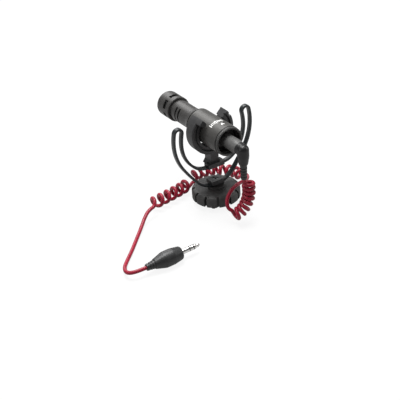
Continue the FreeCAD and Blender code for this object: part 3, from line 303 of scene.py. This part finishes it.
class Finish(Nodes):
    """One procedural material and the nodes that it is made of."""

    def __init__(self, name):
        self.material = bpy.data.materials.new(name)
        self.material.use_nodes = True
        super().__init__(self.material.node_tree)
        self.shader = self.tree.nodes["Principled BSDF"]

    def set(self, **values):
        """Sets the shader's sockets, whose names are written with underscores."""
        for name, value in values.items():
            self.feed(self.shader.inputs[name.replace("_", " ")], value)

    def own_colour(self):
        """What feeds the shader's colour so far."""
        return Level(self, self.shader.inputs["Base Color"].links[0].from_socket)

    def place(self):
        """The point on the piece, in metres."""
        return self.node("ShaderNodeTexCoord", output="Object")

    def place_parts(self):
        """The point's three numbers."""
        split = self.node("ShaderNodeSeparateXYZ", sockets={0: self.place()}).socket.node
        return [Level(self, socket) for socket in split.outputs]

    def noise(self, scale, detail=3.0, roughness=0.5):
        """Soft random levels, with a scale in repeats per metre."""
        sockets = {"Vector": self.place(), "Scale": scale, "Detail": detail, "Roughness": roughness}
        return self.node("ShaderNodeTexNoise", sockets=sockets)

    def spread(self, value, low, high, to_low=0.0, to_high=1.0):
        """Stretches a value's range onto another, and keeps it there."""
        sockets = {"Value": value, "From Min": low, "From Max": high, "To Min": to_low, "To Max": to_high}
        return self.node("ShaderNodeMapRange", {"clamp": True}, sockets)

    def mixed(self, factor, first, second):
        """One colour turning into another."""
        # A Mix node's colours are its inputs 6 and 7 and its output 2.
        return self.node("ShaderNodeMix", {"data_type": "RGBA"}, {0: factor, 6: first, 7: second}, output=2)

    def toned(self, level, base, first, second, low=0.3, high=0.7):
        """A colour going from one tone to another as a level rises."""
        return self.mixed(self.spread(level, low, high), colour(base, first), colour(base, second))

    def bump(self, height, depth, normal=None):
        """A surface raised by a level, with a depth in metres."""
        sockets = {"Height": height, "Distance": depth, "Strength": 1.0}
        if normal is not None:
            sockets["Normal"] = normal
        return self.node("ShaderNodeBump", sockets=sockets)

    def rounded(self, radius):
        """The normal of the surface as if its edges were rounded."""
        return self.node("ShaderNodeBevel", {"samples": ROUNDING_SAMPLES}, {"Radius": radius})

    def edges(self, radius):
        """How near the point is to an edge, from zero to one."""
        own = self.node("ShaderNodeNewGeometry", output="True Normal")
        normals = {0: self.rounded(radius), 1: own}
        facing = self.node("ShaderNodeVectorMath", {"operation": "DOT_PRODUCT"}, normals, output="Value")
        return self.spread(facing, *EDGE_FACING)

    def worn_and_highlit_edges(self, radius, scale, low, high):
        """Edges in places, from zero to one: partly wear, and partly where a highlight is painted along them.
        """
        return self.edges(radius) * self.spread(self.noise(scale, 4.0), low, high)


def colour(values, factor=1.0):
    """A colour with its alpha, lighter or darker by a factor."""
    return tuple(min(1.0, value * factor) for value in values[:3]) + (1.0,)


def matte_metal(name, base, roughness, metallic):
    """Blasted and anodised metal: a fine even grain, faint cloudiness and edges painted slightly brighter,
    partly as wear and partly as a painted highlight.
    """
    finish = Finish(name)
    fine = finish.noise(BLASTED_GRAIN, 2.0, 0.6)
    wear_and_highlight = finish.worn_and_highlit_edges(METAL_ROUNDING, 700.0, 0.35, 0.6)
    tone = finish.toned(finish.noise(160.0, 2.0), base, 0.92, 1.08)
    # Edges are painted lighter in patches: partly wear, partly a painted highlight.
    finish.set(
        Base_Color=finish.mixed(wear_and_highlight * 0.45, tone, colour(base, 2.0)),
        Roughness=finish.spread(fine, 0.3, 0.7, roughness - 0.05, roughness + 0.06) - wear_and_highlight * 0.08,
        Metallic=metallic,
        Normal=finish.bump(fine, 0.012 * MM, finish.rounded(METAL_ROUNDING)),
    )
    return finish


def moulded_plastic(name, base, roughness, grain=MOULD_GRAIN, depth=0.01 * MM, sheen=0.0):
    """Moulded plastic: a fine eroded texture, uneven gloss and edges painted lighter, partly as wear and
    partly as a painted highlight.
    """
    finish = Finish(name)
    cloud = finish.noise(210.0, 3.0)
    fine = finish.noise(grain, 3.0, 0.6)
    wear_and_highlight = finish.worn_and_highlit_edges(PLASTIC_ROUNDING, 520.0, 0.4, 0.65)
    uneven = cloud * 0.5 + fine * 0.5
    # Edges are painted lighter in patches: partly wear, partly a painted highlight.
    finish.set(
        Base_Color=finish.mixed(wear_and_highlight * 0.35, finish.toned(cloud, base, 0.88, 1.12), colour(base, 2.2)),
        Roughness=finish.spread(uneven, 0.35, 0.65, roughness - 0.05, roughness + 0.07),
        Normal=finish.bump(fine, depth, finish.rounded(PLASTIC_ROUNDING)),
        Sheen_Weight=sheen,
    )
    return finish


def barrel_metal(name, base):
    """The barrel's anodising, with a thin groove turned in it beside the rear bezel, whose shade is painted
    near-black.
    """
    finish = matte_metal(name, base, 0.46, 0.35)
    _, y, _ = finish.place_parts()
    # The groove is painted near-black as its shade, from its front edge back.
    painted_groove_shade = finish.spread(y, *GROOVE_EDGE, 1.0, 0.0)
    finish.set(Base_Color=finish.mixed(painted_groove_shade, finish.own_colour(), colour(base, 0.12)))
    return finish


def two_tone_rubber(name, near, far):
    """The right-angle plug: a satin grey barrel that turns near-black where its upright body begins."""
    finish = moulded_plastic(name, far, 0.4, SATIN_GRAIN, 0.006 * MM)
    _, y, _ = finish.place_parts()
    barrel = finish.spread(y, *PLUG_TONES_MEET)
    pale = finish.toned(finish.noise(300.0), near, 0.92, 1.08)
    finish.set(Base_Color=finish.mixed(barrel, finish.own_colour(), pale), Specular_IOR_Level=0.4)
    return finish


def ribbed_metal(name, base, roughness, metallic):
    """Turned metal with fine straight knurling round the microphone's axis, its grooves painted darker as
    their shade and its ribs lighter as their highlight.
    """
    finish = Finish(name)
    x, _, z = finish.place_parts()
    rib = finish.math("SINE", finish.math("ARCTAN2", x, z - AXIS_HEIGHT) * BEZEL_RIBS)
    raised = finish.spread(rib, -0.6, 0.6)
    # The grooves between the ribs are painted darker as their shade, and the ribs lighter as their highlight.
    finish.set(
        Base_Color=finish.mixed(raised, colour(base, 0.45), colour(base, 1.35)),
        Roughness=roughness,
        Metallic=metallic,
        Normal=finish.bump(raised, 0.06 * MM, finish.rounded(SMALL_ROUNDING)),
    )
    return finish


def woven_wire(name, base):
    """A fine woven wire screen round the microphone's axis."""
    finish = Finish(name)
    x, y, z = finish.place_parts()
    warp = finish.math("SINE", finish.math("ARCTAN2", x, z - AXIS_HEIGHT) * SCREEN_WIRES)
    weft = finish.math("SINE", y * (2 * pi / SCREEN_WIRE_SPACING))
    wire = finish.spread(finish.math("MAXIMUM", warp, weft), -0.2, 0.8)
    finish.set(
        Base_Color=finish.mixed(wire, colour(base, 0.06), colour(base)),
        Roughness=0.42,
        Metallic=finish.spread(wire, 0.3, 0.6, 0.0, 0.8),
        Normal=finish.bump(wire, 0.05 * MM),
    )
    return finish


def bright_metal(name, base, roughness):
    """Plated or plain turned metal with faint tool marks."""
    finish = Finish(name)
    marks = finish.noise(TURNED_GRAIN, 2.0, 0.6)
    finish.set(
        Base_Color=finish.toned(marks, base, 0.9, 1.0),
        Roughness=finish.spread(marks, 0.3, 0.7, roughness, roughness + 0.12),
        Metallic=1.0,
        Normal=finish.bump(marks, 0.004 * MM, finish.rounded(SMALL_ROUNDING)),
    )
    return finish


def jacket_rubber(name, base):
    """The cord's smooth satin jacket: deep crimson with a paler bloom and faint worn places."""
    finish = Finish(name)
    cloud = finish.noise(420.0, 3.0)
    fine = finish.noise(TURNED_GRAIN, 2.0)
    finish.set(
        Base_Color=finish.toned(cloud, base, 0.86, 1.12, 0.35, 0.7),
        Roughness=finish.spread(cloud * 0.6 + fine * 0.4, 0.35, 0.65, 0.36, 0.52),
        Normal=finish.bump(fine, 0.004 * MM),
        Specular_IOR_Level=0.4,
        Coat_Weight=0.08,
        Coat_Roughness=0.35,
    )
    return finish


def board_finish(name, base):
    """A circuit board's solder mask, with its tracks showing faintly under it."""
    finish = Finish(name)
    settings = {"distance": "CHEBYCHEV"}
    cells = finish.node("ShaderNodeTexVoronoi", settings, {"Vector": finish.place(), "Scale": 900.0})
    finish.set(
        Base_Color=finish.toned(cells, base, 1.5, 1.0, 0.3, 0.45),
        Roughness=finish.spread(finish.noise(800.0), 0.3, 0.7, 0.25, 0.4),
    )
    return finish


def printed_ink(name, base):
    """Matte printed ink, a little thin in places."""
    finish = Finish(name)
    worn = finish.spread(finish.noise(5200.0, 4.0), 0.25, 0.5)
    finish.set(
        Base_Color=finish.mixed(worn, colour(base, 0.7), colour(base)),
        Roughness=finish.spread(finish.noise(3000.0), 0.3, 0.7, 0.5, 0.65),
        Normal=finish.bump(worn, 0.006 * MM),
    )
    return finish


# Pieces


FINISHES = {}


def finish_of(name):
    """The finish with that name, which the finishes' own operator makes."""
    if name not in FINISHES:
        raise RuntimeError(f"no finish is named {name}")
    return FINISHES[name].material


def add_piece(name, mesh, body, slot, finish=None):
    """Puts a mesh in the scene as a piece, attached to its body if it has one."""
    piece = bpy.data.objects.new(name, mesh)
    bpy.context.scene.collection.objects.link(piece)
    mesh.materials.clear()
    mesh.materials.append(finish_of(finish or slot))
    if body:
        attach(piece, body)
    return piece


def mesh_from(name, shape, angle=SHARP_ANGLE):
    """A mesh from a bmesh, smooth up to an angle."""
    mesh = bpy.data.meshes.new(name)
    shape.to_mesh(mesh)
    shape.free()
    mesh.shade_smooth()
    mesh.set_sharp_from_angle(angle=angle)
    return mesh


def joined_copy(name):
    """A copy of a node's mesh, with its loose triangles joined."""
    shape = bmesh.new()
    shape.from_mesh(frame["nodes"][name].data)
    bmesh.ops.remove_doubles(shape, verts=shape.verts, dist=JOIN_DISTANCE)
    return shape


def soften(name):
    """Copies a node and rounds its edges, and the copy stands in for it."""
    slot, body, rounding = SOFTENED[name]
    shape = joined_copy(name)
    bmesh.ops.dissolve_limit(shape, angle_limit=FLAT_ANGLE, verts=shape.verts, edges=shape.edges)
    piece = add_piece("soft_" + name, mesh_from("soft_" + name, shape, EDGE_ANGLE), body, slot)
    if name in BENDING:
        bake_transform(piece)
    bevel = piece.modifiers.new("Rounded edges", "BEVEL")
    bevel.width = rounding * MM
    bevel.segments = BEVEL_SEGMENTS
    bevel.limit_method = "ANGLE"
    bevel.angle_limit = EDGE_ANGLE
    bevel.harden_normals = True
    bevel.miter_outer = "MITER_ARC"
    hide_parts(name)


def overmould(name):
    """Copies a plug's body and blends its shapes into one soft moulding, which stands in for it."""
    slot, body, _ = SOFTENED[name]
    mesh = mesh_from("soft_" + name, joined_copy(name))
    piece = add_piece("soft_" + name, mesh, body, slot, OVERMOULDED[name])
    skin = piece.modifiers.new("One skin", "REMESH")
    skin.mode = "VOXEL"
    skin.voxel_size = SKIN_VOXEL
    skin.use_smooth_shade = True
    smooth = piece.modifiers.new("Soft moulding", "SMOOTH")
    smooth.factor, smooth.iterations = SKIN_SMOOTHING
    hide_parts(name)


def dress(name, finish):
    """Gives a node that keeps its own mesh its finish."""
    materials = frame["nodes"][name].data.materials
    materials.clear()
    materials.append(finish_of(finish))


# The printed marks


def wrapped(shape, radius):
    """Lays a flat shape round the barrel: its x goes round from the top, and its y along the axis."""
    for vertex in shape.verts:
        angle = vertex.co.x / radius
        vertex.co = Vector((radius * sin(angle), vertex.co.y, AXIS_HEIGHT + radius * cos(angle)))


def add_bar(shape, across, along, width, length):
    """Adds a flat bar to a shape, with its middle at a place, finely divided across."""
    made = bmesh.ops.create_grid(shape, x_segments=4, y_segments=1, size=0.5)
    place = Matrix.Translation((across, along, 0.0)) @ Matrix.Diagonal((width, length, 1.0, 1.0))
    bmesh.ops.transform(shape, matrix=place, verts=made["verts"])


def add_triangle(shape, along, size):
    """Adds a flat triangle to a shape, pointing along the microphone."""
    made = bmesh.ops.create_circle(shape, cap_ends=True, segments=3, radius=size)
    bmesh.ops.transform(shape, matrix=Matrix.Translation((0.0, along, 0.0)), verts=made["verts"])
    edges = {edge for vertex in made["verts"] for edge in vertex.link_edges}
    bmesh.ops.subdivide_edges(shape, edges=list(edges), cuts=5, use_grid_fill=True)


def print_marks():
    """A triangle and a row of plain ticks, printed on top of the barrel near its rear."""
    shape = bmesh.new()
    add_triangle(shape, TRIANGLE_PLACE, TRIANGLE_SIZE)
    for number in range(TICK_COUNT):
        across = (number - TICK_ON_TOP) * TICK_SPACING
        length = LONG_TICK_LENGTH if number % TICKS_PER_LONG_ONE == 0 else TICK_LENGTH
        add_bar(shape, across, TICK_PLACE, TICK_WIDTH, length)
    wrapped(shape, INK_RADIUS)
    bmesh.ops.recalc_face_normals(shape, faces=shape.faces)
    bmesh.ops.solidify(shape, geom=shape.faces[:], thickness=-INK_THICKNESS)
    add_piece("barrel_marks", mesh_from("barrel_marks", shape), "microphone", "barrel_metal", "marks")


# The cord


def mesh_of_curve(name, kind, points, **settings):
    """The mesh that Blender reads from a curve of one open spline."""
    curve = bpy.data.curves.new(name, "CURVE")
    curve.dimensions = "3D"
    for setting, value in settings.items():
        setattr(curve, setting, value)
    spline = curve.splines.new(kind)
    spline.points.add(len(points) - 1)
    for place, point in zip(spline.points, points):
        place.co = (*point, 1.0)
    if kind == "NURBS":
        spline.order_u = 3
        spline.use_endpoint_u = True
    holder = bpy.data.objects.new(name, curve)
    bpy.context.scene.collection.objects.link(holder)
    bpy.context.view_layer.update()
    mesh = bpy.data.meshes.new_from_object(holder)
    bpy.data.objects.remove(holder)
    bpy.data.curves.remove(curve)
    return mesh


def route_line():
    """The smooth line of the NURBS spline whose control points are the route's."""
    points = [Vector(point) * MM for stretch in ROUTE.values() for point in stretch]
    mesh = mesh_of_curve("cord_route", "NURBS", points, resolution_u=ROUTE_STEPS)
    line = [vertex.co.copy() for vertex in mesh.vertices]
    bpy.data.meshes.remove(mesh)
    return line


def stretch_lines(line):
    """Divides the line where one stretch's points give way to the next one's."""
    names = list(ROUTE)
    cuts = [0]
    for before, after in zip(names, names[1:]):
        meeting = (Vector(ROUTE[before][-1]) + Vector(ROUTE[after][0])) * 0.5 * MM
        cuts.append(min(range(cuts[-1], len(line)), key=lambda index: (line[index] - meeting).length))
    cuts.append(len(line) - 1)
    return {name: line[low : high + 1] for name, low, high in zip(names, cuts, cuts[1:])}


def evenly(line, count):
    """Points evenly along a line, and its length."""
    reach = [0.0]
    for first, second in zip(line, line[1:]):
        reach.append(reach[-1] + (second - first).length)
    points = []
    index = 0
    for step in range(count + 1):
        wanted = reach[-1] * step / count
        while index < len(line) - 2 and reach[index + 1] < wanted:
            index += 1
        share = (wanted - reach[index]) / (reach[index + 1] - reach[index])
        points.append(line[index].lerp(line[index + 1], min(1.0, max(0.0, share))))
    return points, reach[-1]


def smooth_share(value):
    """Eases a share from nought to one."""
    return value * value * (3.0 - 2.0 * value)


def wound_share(share, opening):
    """How much of the winding is done at a share of the way, with a gentle start and end."""
    if share < opening:
        done = share * share / (2.0 * opening)
    elif share > 1.0 - opening:
        done = 1.0 - opening - (1.0 - share) ** 2 / (2.0 * opening)
    else:
        done = share - opening / 2.0
    return done / (1.0 - opening)


def curled(line, curl, radius):
    """Winds a line left-handed round itself. The coil stands beside the line, which meets its ends."""
    count = int(curl.turns * CURL_POINTS_PER_TURN)
    base, length = evenly(line, count)
    first_lead, last_lead = (lead * MM for lead in curl.leads)
    side = Vector(curl.start_side)
    total = -2.0 * pi * curl.turns
    points = []
    for step, point in enumerate(base):
        ahead, behind = base[min(step + 1, count)], base[max(step - 1, 0)]
        way = (ahead - behind).normalized()
        side = (side - way * side.dot(way)).normalized()
        other = way.cross(side)
        share = (length * step / count - first_lead) / (length - first_lead - last_lead)
        share = min(1.0, max(0.0, share))
        eased = smooth_share(share)
        angle = total * wound_share(share, curl.opening)
        points.append(
            point
            + side * radius * (cos(angle) - 1.0 + eased * (1.0 - cos(total)))
            + other * radius * (sin(angle) - eased * sin(total))
        )
    return points


def cord_points(radius):
    """The cord's middle line from end to end."""
    points = []
    for name, line in stretch_lines(route_line()).items():
        if name in CURLS:
            stretch = curled(line, CURLS[name], radius * CURLS[name].width)
        else:
            stretch, _ = evenly(line, PLAIN_STRETCH_POINTS)
        points += stretch[1:] if points else stretch
    return points


def tube_mesh(name, points, radius):
    """A round tube along points."""
    mesh = mesh_of_curve(
        name, "POLY", points, bevel_depth=radius, bevel_resolution=CORD_ROUNDNESS, use_fill_caps=True
    )
    mesh.shade_smooth()
    return mesh


def line_length(points):
    """The length of a line of points."""
    return sum((second - first).length for first, second in zip(points, points[1:]))


# What a user may change


COLOUR = {"size": 3, "min": 0.0, "max": 1.0, "subtype": "COLOR"}


class CordSettings(bpy.types.PropertyGroup):
    """The curly cord's sizes and colour."""

    diameter: bpy.props.FloatProperty(
        name="Diameter",
        description="Across the cord's jacket",
        default=2.6 * MM,
        min=0.5 * MM,
        unit="LENGTH",
    )
    curl_radius: bpy.props.FloatProperty(
        name="Curl radius",
        description="From a curl's middle to the cord's",
        default=3.4 * MM,
        min=1.5 * MM,
        unit="LENGTH",
    )
    colour: bpy.props.FloatVectorProperty(
        name="Jacket colour", description="The cord's jacket", default=(0.3, 0.003, 0.024), **COLOUR
    )


class FinishSettings(bpy.types.PropertyGroup):
    """The colours of the microphone and its mount."""

    barrel: bpy.props.FloatVectorProperty(
        name="Barrel", description="The barrel's anodising", default=(0.074, 0.072, 0.068), **COLOUR
    )
    head: bpy.props.FloatVectorProperty(
        name="Head", description="The tube's and the cap's anodising", default=(0.054, 0.052, 0.05), **COLOUR
    )
    clip: bpy.props.FloatVectorProperty(
        name="Clip", description="The clip's and the clamp's plastic", default=(0.034, 0.034, 0.035), **COLOUR
    )
    lyre: bpy.props.FloatVectorProperty(
        name="Lyre", description="The springy lyre's plastic", default=(0.014, 0.018, 0.02), **COLOUR
    )
    mount: bpy.props.FloatVectorProperty(
        name="Foot and ring",
        description="The plastic of the shoe foot and its lock ring",
        default=(0.04, 0.039, 0.038),
        **COLOUR,
    )
    plugs: bpy.props.FloatVectorProperty(
        name="Plugs", description="The plugs' overmoulding", default=(0.018, 0.0185, 0.019), **COLOUR
    )
    marks: bpy.props.FloatVectorProperty(
        name="Marks", description="The printed marks on the barrel", default=(0.82, 0.82, 0.8), **COLOUR
    )


class StageSettings(bpy.types.PropertyGroup):
    """The light and the camera's place."""

    azimuth: bpy.props.FloatProperty(
        name="Camera angle",
        description="Round the object from behind it",
        default=radians(-31.27),
        subtype="ANGLE",
    )
    elevation: bpy.props.FloatProperty(
        name="Camera height",
        description="The camera's angle above the floor",
        default=radians(32.66),
        subtype="ANGLE",
    )
    roll: bpy.props.FloatProperty(
        name="Camera roll",
        description="The camera's turn about its own axis",
        default=radians(-4.18),
        subtype="ANGLE",
    )
    distance: bpy.props.FloatProperty(
        name="Camera distance",
        description="From the camera to the origin's plane",
        default=556.48 * MM,
        unit="LENGTH",
    )
    lens: bpy.props.FloatProperty(
        name="Focal length",
        description="Of a lens on a 36 mm sensor, in millimetres",
        default=69.5,
        min=10.0,
    )
    light: bpy.props.FloatProperty(
        name="Light",
        description="How strong the lamps are beside their plain level",
        default=1.0,
        min=0.0,
        subtype="FACTOR",
    )


class MicrophoneSettings(bpy.types.PropertyGroup):
    """All the settings."""

    cord: bpy.props.PointerProperty(type=CordSettings)
    finishes: bpy.props.PointerProperty(type=FinishSettings)
    stage: bpy.props.PointerProperty(type=StageSettings)


# The stage


def add_floor():
    """A grey floor that the camera sees as nearly white, with the object's shadow on it."""
    shape = bmesh.new()
    bmesh.ops.create_grid(shape, x_segments=1, y_segments=1, size=FLOOR_SIZE)
    mesh = bpy.data.meshes.new("floor")
    shape.to_mesh(mesh)
    shape.free()
    floor = bpy.data.objects.new("floor", mesh)
    bpy.context.scene.collection.objects.link(floor)
    finish = Finish("floor")
    finish.set(Base_Color=FLOOR_GREY, Roughness=0.9, Specular_IOR_Level=0.1)
    shaded = Level(finish, finish.shader.outputs[0])
    glow = finish.node("ShaderNodeEmission", sockets={"Color": WHITE, "Strength": FLOOR_GLOW})
    straight = finish.ray("Camera") * GLOW_SEEN
    through = finish.ray("Transmission") * GLOW_SEEN
    seen = straight + through + finish.ray("Glossy") * GLOW_MIRRORED
    lit = finish.node("ShaderNodeMixShader", sockets={0: seen, 1: shaded, 2: glow})
    finish.feed(finish.tree.nodes["Material Output"].inputs["Surface"], lit)
    mesh.materials.append(finish.material)


def add_world(scene):
    """A soft even light from all round, which the camera sees as nearly white."""
    world = bpy.data.worlds.new("studio")
    world.use_nodes = True
    scene.world = world
    nodes = Nodes(world.node_tree)
    background = world.node_tree.nodes["Background"]
    seen = nodes.math("MAXIMUM", nodes.ray("Camera"), nodes.ray("Transmission"))
    nodes.feed(background.inputs["Strength"], seen * WORLD_SEEN + WORLD_LIGHT)
    nodes.feed(background.inputs["Color"], WHITE)


def add_lamps(light):
    """Four round soft lamps."""
    for name, (place, size, power) in LAMPS.items():
        lamp = bpy.data.lights.new(name, "AREA")
        lamp.shape = "DISK"
        lamp.size = size
        lamp.energy = power * light
        holder = bpy.data.objects.new(name, lamp)
        holder.location = place
        aim = Vector(LAMPS_AIM) - Vector(place)
        holder.rotation_euler = aim.to_track_quat("-Z", "Y").to_euler()
        bpy.context.scene.collection.objects.link(holder)


def add_camera(scene, chosen):
    """A camera behind the microphone, to its left and above it."""
    azimuth, elevation, roll = chosen.azimuth, chosen.elevation, chosen.roll
    back = Vector((sin(azimuth) * cos(elevation), -cos(azimuth) * cos(elevation), sin(elevation)))
    right = Vector((cos(azimuth), sin(azimuth), 0.0))
    up = back.cross(right)
    turned_right = right * cos(roll) + up * sin(roll)
    turned_up = up * cos(roll) - right * sin(roll)
    eye = back * chosen.distance - turned_right * VIEW_LEFT - turned_up * VIEW_DOWN
    camera = bpy.data.cameras.new("camera")
    camera.lens = chosen.lens
    camera.sensor_width = SENSOR_WIDTH
    camera.clip_start = NEAREST_SEEN
    holder = bpy.data.objects.new("camera", camera)
    turn = Matrix((turned_right, turned_up, back)).transposed().to_4x4()
    holder.matrix_world = Matrix.Translation(eye) @ turn
    scene.collection.objects.link(holder)
    scene.camera = holder


# Operators


class MIC_OT_finishes(bpy.types.Operator):
    """Makes the finishes that the pieces share"""

    bl_idname = "mic.finishes"
    bl_label = "Make the finishes"

    def execute(self, context):
        chosen = context.scene.microphone.finishes
        jacket = context.scene.microphone.cord.colour
        mount = (moulded_plastic, chosen.mount, 0.55, MOULD_GRAIN, 0.014 * MM)
        finishes = {
            "barrel_metal": (barrel_metal, chosen.barrel),
            "angle_plug": (two_tone_rubber, (0.1, 0.1, 0.098), (0.008, 0.008, 0.0085)),
            "dark_steel": (bright_metal, (0.1, 0.1, 0.102), 0.32),
            "head_metal": (matte_metal, chosen.head, 0.44, 0.3),
            "bezel_metal": (ribbed_metal, (0.07, 0.069, 0.067), 0.4, 0.4),
            "screen": (woven_wire, (0.02, 0.02, 0.02)),
            "soft_black": (moulded_plastic, (0.012, 0.012, 0.012), 0.62, MOULD_GRAIN, 0.01 * MM, 0.1),
            "clip_plastic": (moulded_plastic, chosen.clip, 0.5),
            "lyre_plastic": (moulded_plastic, chosen.lyre, 0.36, LYRE_GRAIN, 0.006 * MM),
            "foot_plastic": mount,
            "ring_plastic": mount,
            "plug_plastic": (moulded_plastic, chosen.plugs, 0.42, SATIN_GRAIN, 0.006 * MM),
            "inner_plastic": (moulded_plastic, (0.02, 0.02, 0.02), 0.35, SATIN_GRAIN, 0.005 * MM),
            "board": (board_finish, (0.02, 0.12, 0.05)),
            "pin_metal": (bright_metal, (0.78, 0.77, 0.75), 0.16),
            "brass": (bright_metal, (0.72, 0.52, 0.24), 0.25),
            "steel": (bright_metal, (0.45, 0.45, 0.45), 0.3),
            "cord": (jacket_rubber, jacket),
            "marks": (printed_ink, chosen.marks),
        }
        for name, (maker, *values) in finishes.items():
            FINISHES[name] = maker(name, *values)
        return {"FINISHED"}


class MIC_OT_housings(bpy.types.Operator):
    """Rounds the edges of the housings, the clip, the lyre and the mount"""

    bl_idname = "mic.housings"
    bl_label = "Housings and mount"

    def execute(self, context):
        for name in SOFTENED:
            if name in OVERMOULDED:
                overmould(name)
            else:
                soften(name)
        return {"FINISHED"}


class MIC_OT_cord(bpy.types.Operator):
    """Makes the curly cord from one plug to the other"""

    bl_idname = "mic.cord"
    bl_label = "Cord"

    def execute(self, context):
        chosen = context.scene.microphone.cord
        points = cord_points(chosen.curl_radius)
        mesh = tube_mesh("curly_cord", points, chosen.diameter / 2.0)
        piece = add_piece("curly_cord", mesh, None, "cord")
        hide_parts(*ROUTE)
        line_length(points)
        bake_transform(piece)
        return {"FINISHED"}


class MIC_OT_marks(bpy.types.Operator):
    """Prints the marks on the barrel"""

    bl_idname = "mic.marks"
    bl_label = "Printed marks"

    def execute(self, context):
        print_marks()
        return {"FINISHED"}


class MIC_OT_small_parts(bpy.types.Operator):
    """Gives the remaining parts their finishes"""

    bl_idname = "mic.small_parts"
    bl_label = "Small parts"

    def execute(self, context):
        slots = {entry["node"]: entry["material_slot"] for entry in frame["record"]["subparts"]}
        for name in frame["nodes"]:
            dress(name, OWN_FINISHES.get(name, slots[name]))
        return {"FINISHED"}


class MIC_OT_stage(bpy.types.Operator):
    """Makes the floor, the lamps and the camera"""

    bl_idname = "mic.stage"
    bl_label = "Floor, light and camera"

    def execute(self, context):
        chosen = context.scene.microphone.stage
        add_floor()
        add_world(context.scene)
        add_lamps(chosen.light)
        add_camera(context.scene, chosen)
        context.scene.view_settings.view_transform = "Standard"
        return {"FINISHED"}


class MIC_PT_parts(bpy.types.Panel):
    """Shows the steps and the settings in the sidebar"""

    bl_idname = "MIC_PT_parts"
    bl_label = "Microphone"
    bl_space_type = "VIEW_3D"
    bl_region_type = "UI"
    bl_category = "Microphone"

    def draw(self, context):
        for step in STEPS:
            self.layout.operator(step.bl_idname)
        chosen = context.scene.microphone
        for group in (chosen.cord, chosen.finishes, chosen.stage):
            box = self.layout.box()
            for name in group.__annotations__:
                box.prop(group, name)


STEPS = (
    MIC_OT_finishes,
    MIC_OT_housings,
    MIC_OT_cord,
    MIC_OT_marks,
    MIC_OT_small_parts,
    MIC_OT_stage,
)
CLASSES = (CordSettings, FinishSettings, StageSettings, MicrophoneSettings) + STEPS + (MIC_PT_parts,)


def register():
    """Makes the settings, the operators and the panel known."""
    for known in CLASSES:
        bpy.utils.register_class(known)
    bpy.types.Scene.microphone = bpy.props.PointerProperty(type=MicrophoneSettings)


def unregister():
    """Takes them away again."""
    del bpy.types.Scene.microphone
    for known in reversed(CLASSES):
        bpy.utils.unregister_class(known)


def main():
    """Makes every piece in order."""
    register()
    bpy.ops.mic.finishes()
    bpy.ops.mic.housings()
    bpy.ops.mic.cord()
    bpy.ops.mic.marks()
    bpy.ops.mic.small_parts()
    bpy.ops.mic.stage()


if __name__ == "__main__":
    main()
